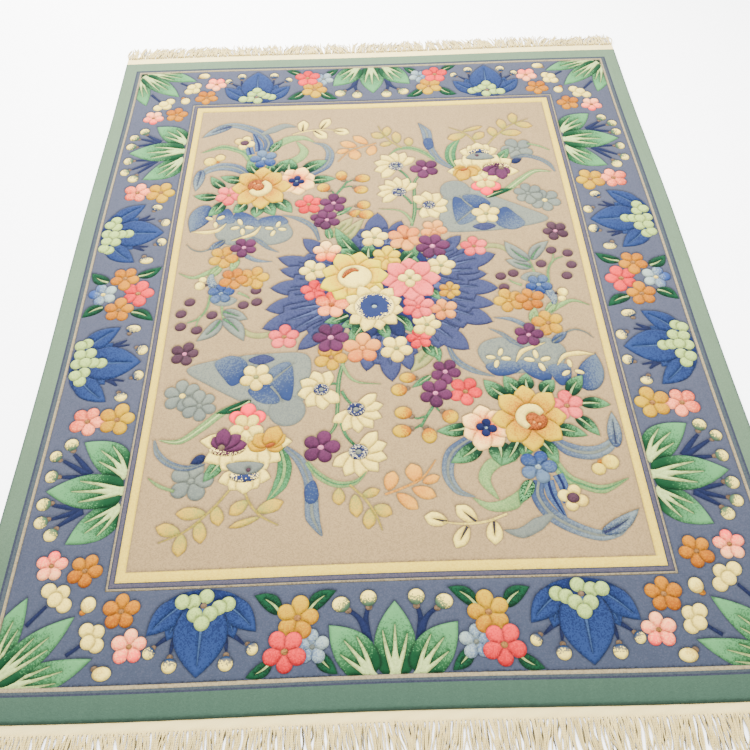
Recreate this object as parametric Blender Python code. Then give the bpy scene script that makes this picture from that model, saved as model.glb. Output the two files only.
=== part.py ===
"""A hand-knotted wool pile rug with carved flowers, flower borders and fringed ends.

Metres, +Z up. The rug lies flat on z = 0 with its middle over the origin and its length along Y.
"""

import math
import random
from collections import namedtuple

import bmesh
import bpy
from mathutils import Vector
from mathutils.geometry import delaunay_2d_cdt

# Plan of the pile: an 8 by 10 foot rug
RUG_WIDTH = 2.44
RUG_LENGTH = 3.05
HALF_X = RUG_WIDTH / 2
HALF_Y = RUG_LENGTH / 2
EDGE_STEPS_X = 20
EDGE_STEPS_Y = 24

# Heights of the pile above the floor
EDGE_HEIGHT = 0.0070
GROUND_HEIGHT = 0.0125
GROOVE_HEIGHT = 0.0095
CENTRE_HEIGHT = 0.0118
RISE_PETAL = 0.0028
RISE_LEAF = 0.0018
RISE_BUD = 0.0022
EDGE_ROUND = 0.006

# Slow waves of a handmade edge
SIDE_WAVE = 0.0030
END_WAVE = 0.0035

# Carved guard lines, as distances of their ring from the rug's middle
GuardLine = namedtuple("GuardLine", "half_x half_y")
GUARD_LINES = (
    GuardLine(1.145, 1.440),
    GuardLine(1.134, 1.429),
    GuardLine(0.848, 1.166),
    GuardLine(0.828, 1.146),
    GuardLine(0.796, 1.111),
)
GUARD_SHOULDER = 0.004

# The field's pattern turns half a turn about this point
FIELD_MIDDLE_Y = -0.016

# Fringed ends
JOINT_GAP = 0.0003
WEB_WIDTH = 0.028
WEB_THICKNESS = 0.0042
LOCKS_PER_STEP = 5
LOCK_LENGTH = 0.112
LOCK_SPREAD = 0.016
LOCK_LEAN = 0.016
LockRing = namedtuple("LockRing", "along width height")
LOCK_RINGS = (
    LockRing(0.34, 0.0115, 0.0038),
    LockRing(0.70, 0.0090, 0.0032),
    LockRing(1.00, 0.0045, 0.0022),
)
LOCK_ROOT_WIDTH = 0.0120

# Motifs, in metres from the rug's middle. A turn is the bearing of one petal, in degrees.
Flower = namedtuple("Flower", "x y radius turn")
Bloom = namedtuple("Bloom", "x y radius cup petals turn")
Leaf = namedtuple("Leaf", "x y tip_x tip_y width")
Bud = namedtuple("Bud", "x y radius_x radius_y")
Ribbon = namedtuple("Ribbon", "width points")

# One quarter of the border, repeated in the other three by reflection
BORDER_FLOWERS = (
    Flower(0.232, -1.356, 0.048, 90),
    Flower(0.276, -1.266, 0.064, 101),
    Flower(0.310, -1.360, 0.063, 270),
    Flower(0.790, -1.226, 0.055, 90),
    Flower(0.752, -1.328, 0.052, 90),
    Flower(0.992, -0.080, 0.060, 94),
    Flower(1.020, -0.570, 0.060, 40),
    Flower(0.917, -0.568, 0.064, 102),
    Flower(0.920, -1.100, 0.053, 113),
    Flower(1.025, -1.082, 0.050, 92),
)
BORDER_LEAVES = (
    Leaf(0.045, -1.425, 0.184, -1.290, 0.075),
    Leaf(0.235, -1.245, 0.166, -1.190, 0.045),
    Leaf(0.335, -1.250, 0.402, -1.196, 0.050),
    Leaf(0.215, -1.370, 0.162, -1.425, 0.040),
    Leaf(0.350, -1.390, 0.415, -1.425, 0.038),
    Leaf(0.510, -1.200, 0.400, -1.288, 0.080),
    Leaf(0.596, -1.200, 0.706, -1.288, 0.080),
    Leaf(0.553, -1.180, 0.553, -1.413, 0.140),
    Leaf(1.088, -1.420, 0.854, -1.355, 0.078),
    Leaf(1.126, -1.390, 1.070, -1.175, 0.078),
    Leaf(1.108, -1.404, 0.926, -1.240, 0.085),
    Leaf(0.945, -0.090, 0.856, -0.136, 0.045),
    Leaf(1.052, -0.062, 1.126, -0.113, 0.048),
    Leaf(1.104, -0.238, 0.972, -0.168, 0.090),
    Leaf(1.104, -0.414, 0.972, -0.490, 0.090),
    Leaf(1.060, -0.326, 0.877, -0.326, 0.130),
    Leaf(0.854, -0.780, 1.008, -0.655, 0.090),
    Leaf(0.854, -0.905, 0.995, -1.010, 0.080),
    Leaf(0.854, -0.835, 1.095, -0.833, 0.110),
)
BORDER_BUDS = (
    Bud(0.070, -1.218, 0.024, 0.024),
    Bud(0.150, -1.232, 0.026, 0.023),
    Bud(0.402, -1.348, 0.017, 0.018),
    Bud(0.474, -1.385, 0.021, 0.022),
    Bud(0.632, -1.385, 0.021, 0.022),
    Bud(0.700, -1.348, 0.017, 0.018),
    Bud(0.850, -1.284, 0.022, 0.022),
    Bud(0.885, -1.278, 0.018, 0.019),
    Bud(0.846, -1.324, 0.023, 0.022),
    Bud(0.890, -1.204, 0.022, 0.024),
    Bud(0.818, -1.400, 0.027, 0.020),
    Bud(0.922, -0.172, 0.027, 0.018),
    Bud(0.876, -0.272, 0.021, 0.022),
    Bud(0.874, -0.385, 0.020, 0.021),
    Bud(0.920, -0.475, 0.022, 0.018),
    Bud(1.052, -0.662, 0.022, 0.023),
    Bud(1.095, -0.705, 0.020, 0.020),
    Bud(1.092, -0.780, 0.021, 0.022),
    Bud(1.095, -0.878, 0.023, 0.022),
    Bud(1.090, -0.940, 0.022, 0.021),
    Bud(1.050, -0.982, 0.022, 0.022),
    Bud(0.972, -1.165, 0.022, 0.022),
    Bud(1.017, -1.160, 0.023, 0.021),
    Bud(0.960, -1.205, 0.023, 0.022),
    Bud(0.478, -1.216, 0.023, 0.023),
    Bud(0.553, -1.196, 0.021, 0.021),
    Bud(0.612, -1.208, 0.022, 0.021),
    Bud(0.553, -1.245, 0.030, 0.030),
    Bud(1.080, -0.240, 0.022, 0.020),
    Bud(1.090, -0.412, 0.020, 0.019),
    Bud(1.090, -0.326, 0.034, 0.040),
    Bud(1.020, -0.326, 0.022, 0.021),
)

# On the border's own middle lines, repeated at the opposite end or side
END_MIDDLE_LEAF = Leaf(0.000, -1.425, 0.004, -1.228, 0.100)
SIDE_MIDDLE_FLOWERS = (
    Flower(0.930, 0.000, 0.063, 180),
    Flower(1.062, 0.000, 0.056, 0),
)

# One half of the field, repeated in the other by the half turn
FIELD_RIBBONS = (
    Ribbon(0.030, ((0.262, -0.700), (0.205, -0.760), (0.198, -0.830), (0.262, -0.898))),
    Ribbon(0.030, ((0.555, -0.695), (0.660, -0.752), (0.750, -0.712), (0.762, -0.615))),
    Ribbon(0.028, ((0.555, -0.790), (0.610, -0.862), (0.690, -0.884), (0.765, -0.855))),
    Ribbon(0.036, ((0.420, -0.770), (0.332, -0.795), (0.318, -0.850), (0.345, -0.905))),
    Ribbon(0.036, ((0.480, -0.860), (0.500, -0.960), (0.630, -1.035), (0.775, -0.960))),
    Ribbon(0.036, ((0.510, -0.970), (0.440, -1.015), (0.358, -1.016))),
    Ribbon(0.024, ((-0.775, -0.665), (-0.730, -0.735), (-0.610, -0.752))),
    Ribbon(0.040, ((-0.345, -0.720), (-0.334, -0.790), (-0.378, -0.882))),
    Ribbon(0.034, ((-0.320, -0.712), (-0.255, -0.830), (-0.238, -0.930), (-0.212, -1.010))),
    Ribbon(0.024, ((-0.258, -0.765), (-0.180, -0.840), (-0.070, -0.805))),
)
FIELD_LEAVES = (
    Leaf(0.420, -0.530, 0.352, -0.455, 0.055),
    Leaf(0.470, -0.510, 0.425, -0.440, 0.050),
    Leaf(0.500, -0.490, 0.505, -0.432, 0.045),
    Leaf(0.550, -0.515, 0.598, -0.463, 0.048),
    Leaf(0.642, -0.525, 0.700, -0.447, 0.050),
    Leaf(0.680, -0.562, 0.770, -0.572, 0.045),
    Leaf(0.650, -0.622, 0.712, -0.690, 0.042),
    Leaf(0.570, -0.664, 0.668, -0.690, 0.048),
    Leaf(0.275, -0.645, 0.172, -0.656, 0.048),
    Leaf(0.302, -0.715, 0.210, -0.776, 0.055),
    Leaf(0.365, -0.712, 0.376, -0.792, 0.078),
    Leaf(0.520, -0.700, 0.556, -0.780, 0.050),
    Leaf(0.462, -0.850, 0.416, -0.925, 0.040),
    Leaf(0.700, -0.505, 0.765, -0.360, 0.075),
    Leaf(0.092, -0.862, 0.080, -0.778, 0.050),
    Leaf(0.085, -0.862, 0.150, -0.890, 0.040),
    Leaf(0.030, -0.880, 0.090, -0.936, 0.036),
    Leaf(0.270, -0.985, 0.214, -0.933, 0.042),
    Leaf(0.172, -0.988, 0.112, -0.966, 0.042),
    Leaf(0.240, -1.000, 0.204, -1.066, 0.042),
    Leaf(0.325, -0.990, 0.320, -1.056, 0.044),
    Leaf(-0.470, -0.510, -0.572, -0.545, 0.034),
    Leaf(-0.545, -0.742, -0.592, -0.812, 0.045),
    Leaf(-0.578, -0.925, -0.668, -0.924, 0.040),
    Leaf(-0.650, -0.988, -0.722, -0.970, 0.040),
    Leaf(-0.645, -1.004, -0.645, -1.062, 0.040),
    Leaf(-0.598, -0.952, -0.582, -1.022, 0.038),
    Leaf(-0.552, -0.905, -0.530, -0.966, 0.038),
    Leaf(-0.445, -0.890, -0.496, -0.932, 0.040),
    Leaf(-0.412, -0.925, -0.336, -0.897, 0.044),
    Leaf(-0.105, -0.890, -0.100, -0.955, 0.036),
    Leaf(-0.040, -0.925, 0.006, -0.950, 0.038),
    Leaf(0.595, 0.100, 0.512, 0.205, 0.056),
    Leaf(0.600, 0.110, 0.678, 0.208, 0.048),
    Leaf(-0.455, -0.410, -0.590, -0.338, 0.085),
    Leaf(-0.440, -0.420, -0.325, -0.500, 0.090),
)
FIELD_FLOWERS = (
    Flower(0.618, -0.208, 0.060, 100),
    Flower(0.488, -0.095, 0.058, 110),
    Flower(0.568, -0.092, 0.055, 100),
    Flower(0.538, -0.260, 0.054, 80),
    Flower(0.610, -0.020, 0.050, 210),
    Flower(0.718, 0.265, 0.052, 110),
    Flower(0.624, -0.570, 0.060, 95),
    Flower(0.490, -0.800, 0.060, 70),
    Flower(0.583, -0.913, 0.044, 72),
    Flower(0.283, -0.500, 0.060, 60),
    Flower(0.220, -0.413, 0.055, 60),
    Flower(0.179, -0.503, 0.058, 130),
    Flower(-0.704, -0.479, 0.068, 100),
    Flower(-0.640, -0.523, 0.062, 40),
    Flower(-0.635, -0.810, 0.070, 80),
    Flower(-0.451, -0.410, 0.060, 55),
    Flower(-0.217, -0.704, 0.062, 75),
    Flower(-0.217, -0.476, 0.060, 130),
    Flower(-0.080, -0.564, 0.070, 40),
    Flower(-0.080, -0.740, 0.070, 50),
    Flower(-0.462, -0.790, 0.070, 90),
)
FIELD_BLOOMS = (
    Bloom(0.490, -0.613, 0.122, 0.055, 9, 90),
    Bloom(0.339, -0.649, 0.085, 0.036, 7, 95),
    Bloom(-0.470, -0.680, 0.130, 0.050, 9, 100),
    Bloom(-0.470, -0.575, 0.068, 0.030, 6, 90),
)
FIELD_BUDS = (
    Bud(0.726, -0.790, 0.027, 0.026),
    Bud(0.684, -0.814, 0.022, 0.022),
    Bud(0.085, -0.435, 0.029, 0.021),
    Bud(0.053, -0.486, 0.027, 0.025),
    Bud(0.063, -0.580, 0.029, 0.024),
    Bud(0.055, -0.652, 0.031, 0.024),
    Bud(0.146, -0.671, 0.024, 0.029),
    Bud(0.222, -0.598, 0.027, 0.026),
    Bud(0.685, 0.158, 0.021, 0.022),
    Bud(0.747, 0.140, 0.021, 0.021),
    Bud(0.635, 0.088, 0.020, 0.020),
    Bud(0.752, 0.078, 0.024, 0.020),
    Bud(0.725, 0.022, 0.024, 0.020),
    Bud(0.520, 0.043, 0.019, 0.021),
    Bud(0.470, 0.030, 0.019, 0.019),
    Bud(0.476, -0.028, 0.023, 0.020),
    Bud(0.695, -0.060, 0.020, 0.020),
)

# The medallion, which stands alone in the middle
MEDALLION_LEAVES = (
    Leaf(-0.020, 0.150, 0.004, 0.405, 0.150),
    Leaf(-0.180, 0.130, -0.303, 0.268, 0.120),
    Leaf(-0.170, 0.090, -0.398, 0.165, 0.130),
    Leaf(-0.200, 0.000, -0.422, 0.010, 0.150),
    Leaf(-0.200, -0.080, -0.443, -0.193, 0.170),
    Leaf(-0.160, -0.180, -0.308, -0.296, 0.110),
    Leaf(-0.020, -0.250, 0.031, -0.448, 0.150),
    Leaf(0.150, -0.180, 0.316, -0.318, 0.140),
    Leaf(0.240, -0.090, 0.415, -0.195, 0.140),
    Leaf(0.240, -0.010, 0.454, -0.030, 0.130),
    Leaf(0.240, 0.060, 0.463, 0.147, 0.140),
    Leaf(0.230, 0.120, 0.334, 0.256, 0.090),
)
MEDALLION_FLOWERS = (
    Flower(-0.359, -0.234, 0.058, 90),
    Flower(0.382, 0.195, 0.055, 95),
    Flower(-0.185, -0.339, 0.060, 60),
    Flower(0.229, 0.294, 0.055, 60),
    Flower(0.112, 0.252, 0.070, 100),
    Flower(-0.013, 0.261, 0.055, 80),
    Flower(0.217, 0.201, 0.070, 70),
    Flower(-0.206, 0.189, 0.058, 90),
    Flower(0.031, 0.147, 0.062, 85),
    Flower(-0.258, 0.090, 0.055, 110),
    Flower(-0.251, -0.015, 0.052, 95),
    Flower(-0.185, -0.090, 0.065, 80),
    Flower(-0.187, -0.246, 0.068, 60),
    Flower(-0.071, -0.300, 0.068, 90),
    Flower(0.137, -0.264, 0.045, 100),
    Flower(0.052, -0.306, 0.060, 60),
    Flower(0.169, -0.198, 0.055, 70),
    Flower(0.238, -0.129, 0.052, 100),
    Flower(0.142, -0.111, 0.060, 80),
    Flower(0.268, -0.033, 0.044, 90),
    Flower(0.244, 0.096, 0.057, 80),
)
MEDALLION_BLOOMS = (
    Bloom(0.118, 0.033, 0.112, 0.042, 8, 90),
    Bloom(-0.023, -0.103, 0.115, 0.058, 12, 90),
    Bloom(-0.097, 0.051, 0.132, 0.066, 9, 80),
)

PETALS = 5
PETAL_SHOULDER = 17.0
PETAL_VALLEY = 0.55
PETAL_CREST = 0.66
BUD_SIDES = 6

Form = namedtuple("Form", "outline crests")


def clear_scene():
    """Remove whatever the file opened with."""
    for found in list(bpy.data.objects):
        bpy.data.objects.remove(found, do_unlink=True)


def make_material(name, colour, roughness):
    """Return a cloth finish of one colour."""
    material = bpy.data.materials.new(name)
    material.use_nodes = True
    shader = material.node_tree.nodes["Principled BSDF"]
    shader.inputs["Base Color"].default_value = (*colour, 1.0)
    shader.inputs["Roughness"].default_value = roughness
    shader.inputs["Metallic"].default_value = 0.0
    return material


def end_wave(x):
    """How far an end's edge runs out at x. It is nothing at the corners."""
    return END_WAVE * math.sin(math.pi * 3 * (x + HALF_X) / RUG_WIDTH)


def side_wave(y):
    """How far a side's edge runs out at y. It is nothing at the corners."""
    return SIDE_WAVE * math.sin(math.pi * 4 * (y + HALF_Y) / RUG_LENGTH)


def waved(x, y):
    """Shift a point of the straight plan to where the handmade rug has it."""
    return x + side_wave(y) * x / HALF_X, y + end_wave(x) * y / HALF_Y


def polar(x, y, radius, degrees):
    """Return the point at a bearing and distance from (x, y)."""
    angle = math.radians(degrees)
    return x + radius * math.cos(angle), y + radius * math.sin(angle)


def flower_form(flower):
    """Five round petals about a low middle."""
    outline = []
    crests = [(flower.x, flower.y, CENTRE_HEIGHT)]
    step = 360.0 / PETALS
    for petal in range(PETALS):
        bearing = flower.turn + petal * step
        outline.append(polar(flower.x, flower.y, PETAL_VALLEY * flower.radius, bearing - step / 2))
        outline.append(polar(flower.x, flower.y, flower.radius, bearing - PETAL_SHOULDER))
        outline.append(polar(flower.x, flower.y, flower.radius, bearing + PETAL_SHOULDER))
        crest = polar(flower.x, flower.y, PETAL_CREST * flower.radius, bearing)
        crests.append((*crest, GROUND_HEIGHT + RISE_PETAL))
    return Form(outline, crests)


def bloom_form(bloom):
    """Pointed petals about a raised cup."""
    outline = []
    crests = [(bloom.x, bloom.y, GROUND_HEIGHT + RISE_PETAL)]
    step = 360.0 / bloom.petals
    for petal in range(bloom.petals):
        bearing = bloom.turn + petal * step
        outline.append(polar(bloom.x, bloom.y, 0.72 * bloom.radius, bearing - step / 2))
        outline.append(polar(bloom.x, bloom.y, bloom.radius, bearing))
        rim = polar(bloom.x, bloom.y, bloom.cup, bearing - step / 2)
        crest = polar(bloom.x, bloom.y, (bloom.radius + bloom.cup) / 2, bearing)
        crests.append((*rim, GROOVE_HEIGHT))
        crests.append((*crest, GROUND_HEIGHT + RISE_PETAL))
    return Form(outline, crests)


def leaf_form(leaf):
    """A pointed leaf or petal, widest before its middle, with a raised spine."""
    base = Vector((leaf.x, leaf.y))
    spine = Vector((leaf.tip_x, leaf.tip_y)) - base
    across = Vector((-spine.y, spine.x)).normalized() * leaf.width / 2
    stations = ((0.18, 0.72), (0.48, 1.0), (0.80, 0.62))
    left = [base + spine * along + across * share for along, share in stations]
    right = [base + spine * along - across * share for along, share in reversed(stations)]
    outline = [tuple(point) for point in [base, *left, base + spine, *right]]
    crests = [(*(base + spine * along), GROUND_HEIGHT + RISE_LEAF) for along in (0.30, 0.66)]
    return Form(outline, crests)


def bud_form(bud):
    """A rounded bud, berry or lobe."""
    outline = []
    for side in range(BUD_SIDES):
        angle = 2 * math.pi * side / BUD_SIDES
        outline.append((bud.x + bud.radius_x * math.cos(angle), bud.y + bud.radius_y * math.sin(angle)))
    return Form(outline, [(bud.x, bud.y, GROUND_HEIGHT + RISE_BUD)])


def ribbon_form(ribbon):
    """A scroll along its points, tapered to both ends."""
    points = [Vector(point) for point in ribbon.points]
    left = []
    right = []
    crests = []
    for index in range(1, len(points) - 1):
        heading = (points[index + 1] - points[index - 1]).normalized()
        across = Vector((-heading.y, heading.x)) * ribbon.width / 2
        left.append(tuple(points[index] + across))
        right.append(tuple(points[index] - across))
        crests.append((*points[index], GROUND_HEIGHT + RISE_LEAF))
    outline = [tuple(points[0]), *left, tuple(points[-1]), *reversed(right)]
    return Form(outline, crests)


def turned(form):
    """The same form after the field's half turn."""
    outline = [(-x, 2 * FIELD_MIDDLE_Y - y) for x, y in form.outline]
    crests = [(-x, 2 * FIELD_MIDDLE_Y - y, z) for x, y, z in form.crests]
    return Form(outline, crests)


def reflected(form, sign_x, sign_y):
    """The same form reflected across the rug's middle lines."""
    outline = [(sign_x * x, sign_y * y) for x, y in form.outline]
    crests = [(sign_x * x, sign_y * y, z) for x, y, z in form.crests]
    return Form(outline, crests)


def field_forms():
    """The field's motifs, the ones underneath first."""
    half = [ribbon_form(row) for row in FIELD_RIBBONS]
    half += [leaf_form(row) for row in FIELD_LEAVES]
    half += [flower_form(row) for row in FIELD_FLOWERS]
    half += [bloom_form(row) for row in FIELD_BLOOMS]
    half += [bud_form(row) for row in FIELD_BUDS]
    forms = half + [turned(form) for form in half]
    forms += [leaf_form(row) for row in MEDALLION_LEAVES]
    forms += [flower_form(row) for row in MEDALLION_FLOWERS]
    forms += [bloom_form(row) for row in MEDALLION_BLOOMS]
    return forms


def border_forms():
    """The border's motifs, the ones underneath first."""
    quarter = [leaf_form(row) for row in BORDER_LEAVES]
    quarter += [flower_form(row) for row in BORDER_FLOWERS]
    quarter += [bud_form(row) for row in BORDER_BUDS]
    forms = []
    for sign_y in (1, -1):
        forms.append(reflected(leaf_form(END_MIDDLE_LEAF), 1, sign_y))
    for sign_x in (1, -1):
        forms += [reflected(flower_form(row), sign_x, 1) for row in SIDE_MIDDLE_FLOWERS]
    for sign_x in (1, -1):
        for sign_y in (1, -1):
            forms += [reflected(form, sign_x, sign_y) for form in quarter]
    return forms


def is_inside(point, outline):
    """Whether a point lies within a closed outline."""
    x, y = point
    inside = False
    previous = outline[-1]
    for corner in outline:
        crosses = (corner[1] > y) != (previous[1] > y)
        if crosses:
            reach = (previous[0] - corner[0]) * (y - corner[1]) / (previous[1] - corner[1]) + corner[0]
            if x < reach:
                inside = not inside
        previous = corner
    return inside


def bounds_of(outline):
    """Return the least and greatest x and y of an outline."""
    across = [point[0] for point in outline]
    along = [point[1] for point in outline]
    return min(across), max(across), min(along), max(along)


def is_covered(point, later):
    """Whether any of the later forms hides a point."""
    x, y = point
    for low_x, high_x, low_y, high_y, outline in later:
        if low_x < x < high_x and low_y < y < high_y and is_inside(point, outline):
            return True
    return False


def relief_points(forms):
    """Return the relief's points and the outline edges that show."""
    boxes = [(*bounds_of(form.outline), form.outline) for form in forms]
    points = []
    edges = []
    for index, form in enumerate(forms):
        later = boxes[index + 1:]
        kept = []
        for x, y in form.outline:
            if is_covered((x, y), later):
                kept.append(None)
                continue
            kept.append(len(points))
            points.append((x, y, GROOVE_HEIGHT))
        for first, second in zip(kept, kept[1:] + kept[:1]):
            if first is not None and second is not None:
                edges.append((first, second))
        for x, y, z in form.crests:
            if not is_covered((x, y), later):
                points.append((x, y, z))
    return points, edges


def ring_corners(half_x, half_y):
    """The corners of a guard ring."""
    return [(-half_x, -half_y), (half_x, -half_y), (half_x, half_y), (-half_x, half_y)]


def add_ring(points, edges, half_x, half_y, height):
    """Add a closed ring at one height, with points that follow the edge's waves."""
    start = len(points)
    corners = ring_corners(half_x, half_y)
    steps = (EDGE_STEPS_X, EDGE_STEPS_Y, EDGE_STEPS_X, EDGE_STEPS_Y)
    for corner, following, count in zip(corners, corners[1:] + corners[:1], steps):
        for step in range(count):
            share = step / count
            x = corner[0] + (following[0] - corner[0]) * share
            y = corner[1] + (following[1] - corner[1]) * share
            points.append((x, y, height))
    total = len(points) - start
    edges += [(start + step, start + (step + 1) % total) for step in range(total)]


def add_guard(points, edges, guard):
    """Add a carved line as a groove between two level shoulders."""
    sections = ((-GUARD_SHOULDER, GROUND_HEIGHT), (0.0, GROOVE_HEIGHT), (GUARD_SHOULDER, GROUND_HEIGHT))
    for offset, height in sections:
        start = len(points)
        corners = ring_corners(guard.half_x + offset, guard.half_y + offset)
        points += [(*corner, height) for corner in corners]
        edges += [(start + corner, start + (corner + 1) % 4) for corner in range(4)]


def build_pile(material):
    """The knotted pile, one body with its carved flowers, lines and rounded edge."""
    points, edges = relief_points(border_forms() + field_forms())
    for guard in GUARD_LINES:
        add_guard(points, edges, guard)
    add_ring(points, edges, HALF_X - EDGE_ROUND, HALF_Y - EDGE_ROUND, GROUND_HEIGHT)
    flat = [Vector((x, y)) for x, y, _ in points]
    places, _, faces, sources, _, _ = delaunay_2d_cdt(flat, edges, [], 0, 1e-5, True)
    sheet = bmesh.new()
    for place, source in zip(places, sources):
        height = min((points[number][2] for number in source), default=GROOVE_HEIGHT)
        sheet.verts.new((*place, height))
    sheet.verts.ensure_lookup_table()
    for face in faces:
        sheet.faces.new([sheet.verts[number] for number in face])
    grown = (HALF_X / (HALF_X - EDGE_ROUND), HALF_Y / (HALF_Y - EDGE_ROUND))
    rim = [edge for edge in sheet.edges if edge.is_boundary]
    shoulder = extruded_rim(sheet, rim, grown, EDGE_HEIGHT)
    foot = extruded_rim(sheet, shoulder, (1.0, 1.0), 0.0)
    bmesh.ops.contextual_create(sheet, geom=foot)
    for vert in sheet.verts:
        vert.co.xy = waved(vert.co.x, vert.co.y)
    return finished("carved_pile", sheet, material)


def extruded_rim(sheet, rim, scale, height):
    """Extrude the open rim to a height, scaled in the plan, and return the new rim."""
    grown = bmesh.ops.extrude_edge_only(sheet, edges=rim)["geom"]
    for vert in grown:
        if isinstance(vert, bmesh.types.BMVert):
            vert.co = (vert.co.x * scale[0], vert.co.y * scale[1], height)
    return [edge for edge in grown if isinstance(edge, bmesh.types.BMEdge)]


def finished(name, sheet, material):
    """Turn a bmesh into a named object with its faces pointing out."""
    bmesh.ops.recalc_face_normals(sheet, faces=sheet.faces)
    mesh = bpy.data.meshes.new(name)
    sheet.to_mesh(mesh)
    sheet.free()
    mesh.materials.append(material)
    made = bpy.data.objects.new(name, mesh)
    bpy.context.scene.collection.objects.link(made)
    return made


def build_fringe(name, side, seed, material):
    """A flat woven web along one end, with its warp ends left as locks that lie on the floor."""
    dice = random.Random(seed)
    sheet = bmesh.new()
    pitch = RUG_WIDTH / (EDGE_STEPS_X * LOCKS_PER_STEP)
    start = HALF_Y + JOINT_GAP
    phase = dice.uniform(0, 2 * math.pi)

    def corner(x, out, z):
        return sheet.verts.new((x, side * (start + end_wave(x) + out), z))

    def pair(x, out):
        return corner(x, out, WEB_THICKNESS), corner(x, out, 0.0)

    inner = [pair(-HALF_X + step * RUG_WIDTH / EDGE_STEPS_X, 0.0) for step in range(EDGE_STEPS_X + 1)]
    ends = (pair(-HALF_X, WEB_WIDTH), pair(HALF_X, WEB_WIDTH))
    outer = [ends[0]]
    for number in range(EDGE_STEPS_X * LOCKS_PER_STEP):
        middle = -HALF_X + (number + 0.5) * pitch
        root = (pair(middle - LOCK_ROOT_WIDTH / 2, WEB_WIDTH), pair(middle + LOCK_ROOT_WIDTH / 2, WEB_WIDTH))
        outer += root
        lean = LOCK_LEAN * math.sin(phase + 5.2 * middle) + LOCK_LEAN * 0.4 * math.sin(11.0 * middle)
        build_lock(sheet, root, side, middle, lean, LOCK_LENGTH + dice.uniform(-LOCK_SPREAD, LOCK_SPREAD))
    outer.append(ends[1])
    for step in range(EDGE_STEPS_X):
        first = step * 2 * LOCKS_PER_STEP
        reach = outer[first:first + 2 * LOCKS_PER_STEP + 1]
        if step == EDGE_STEPS_X - 1:
            reach.append(outer[-1])
        cell = [inner[step], *reach, inner[step + 1]]
        for level in (0, 1):
            sheet.faces.new([vertex[level] for vertex in cell])
        sheet.faces.new([*inner[step], *reversed(inner[step + 1])])
    for first, second in zip(outer[::2], outer[1::2]):
        sheet.faces.new([*first, *reversed(second)])
    sheet.faces.new([*inner[0], *reversed(outer[0])])
    sheet.faces.new([*inner[-1], *reversed(outer[-1])])
    return finished(name, sheet, material)


def build_lock(sheet, root, side, middle, lean, length):
    """A four-sided lock from its root on the web, flat on the floor, thinning to its tip."""
    left, right = root
    ring = [left[0], right[0], right[1], left[1]]
    start = abs(left[0].co.y)
    for section in LOCK_RINGS:
        x = middle + lean * section.along ** 1.6
        y = side * (start + length * section.along)
        low = x - section.width / 2
        high = x + section.width / 2
        following = [
            sheet.verts.new((low, y, section.height)),
            sheet.verts.new((high, y, section.height)),
            sheet.verts.new((high, y, 0.0)),
            sheet.verts.new((low, y, 0.0)),
        ]
        for edge in range(4):
            ahead = (edge + 1) % 4
            sheet.faces.new([ring[edge], ring[ahead], following[ahead], following[edge]])
        ring = following
    sheet.faces.new(ring)


def main():
    """Build the rug's pile and its two fringed ends."""
    clear_scene()
    wool = make_material("Carved wool pile", (0.50, 0.44, 0.36), 0.95)
    cotton = make_material("Cotton warp", (0.84, 0.79, 0.63), 0.90)
    build_pile(wool)
    build_fringe("fringe_far", 1, 11, cotton)
    build_fringe("fringe_near", -1, 23, cotton)


main()
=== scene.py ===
"""Looks of a hand-knotted wool rug with carved flowers, a flower border and fringed ends.

The rug lies flat with its length along Y. Its pattern is drawn as patches of coloured wool, one over
another, and the pile's face is meshed along their outlines, so that each petal and leaf is carved round.
"""

import logging
import math
import random
from dataclasses import dataclass, field, replace
from enum import Enum
from typing import Iterable, Optional, Protocol, Union

import bmesh
import bpy
import numpy as np
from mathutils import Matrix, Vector, kdtree
from mathutils.geometry import delaunay_2d_cdt


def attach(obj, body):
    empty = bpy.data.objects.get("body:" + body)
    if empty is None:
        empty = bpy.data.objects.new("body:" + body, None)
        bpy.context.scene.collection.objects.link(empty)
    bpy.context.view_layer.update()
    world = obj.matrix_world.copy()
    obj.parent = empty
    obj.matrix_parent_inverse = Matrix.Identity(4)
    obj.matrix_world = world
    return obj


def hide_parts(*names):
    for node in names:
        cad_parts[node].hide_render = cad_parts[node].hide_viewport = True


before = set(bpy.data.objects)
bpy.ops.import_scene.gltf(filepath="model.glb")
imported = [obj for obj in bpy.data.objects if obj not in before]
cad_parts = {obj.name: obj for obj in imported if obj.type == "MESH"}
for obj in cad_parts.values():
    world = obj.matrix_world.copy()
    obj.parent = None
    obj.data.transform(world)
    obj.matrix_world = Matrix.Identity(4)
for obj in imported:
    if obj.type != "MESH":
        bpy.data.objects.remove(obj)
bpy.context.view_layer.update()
LOG = logging.getLogger("rug")
Pair = tuple[float, float]

# The rug's plan, in metres
HALF_X = 1.22
HALF_Y = 1.525
SIDE_WAVE = 0.0030
END_WAVE = 0.0035
FIELD_MIDDLE_Y = -0.016

# How a wool's own reflectance gives the colour that is seen in the bright room
ROOM_LIGHT = 5.1
EYE_POWER = 0.68
EYE_LEVEL = 2.08
EYE_TOP = 1.2
VIVIDNESS = 1.24
DIMMING = 0.26
GREY_WEIGHTS = (0.25, 0.60, 0.15)
VIVID_RANGE = (0.02, EYE_TOP - 0.12)
REFLECTANCE_RANGE = (0.0015, 0.92)

# Heights above the floor, and how deep the carving is cut
BACKING = 0.0030
GROUND = 0.0125
RIM = 0.0070
CARVING = 0.0032

# How outlines are drawn: their points, and the turn in radians that makes a corner
ELLIPSE_POINTS = 28
LEAF_POINTS = 25
TOOTHED_POINTS = 40
PETAL_POINTS = 20
CORNER_TURN = 0.75

# A leaf's tooth: its least and added width, and where along the leaf the last one ends
TOOTH_LEAST = 0.74
TOOTH_ADDED = 0.42
TOOTH_END = 0.97

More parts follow.
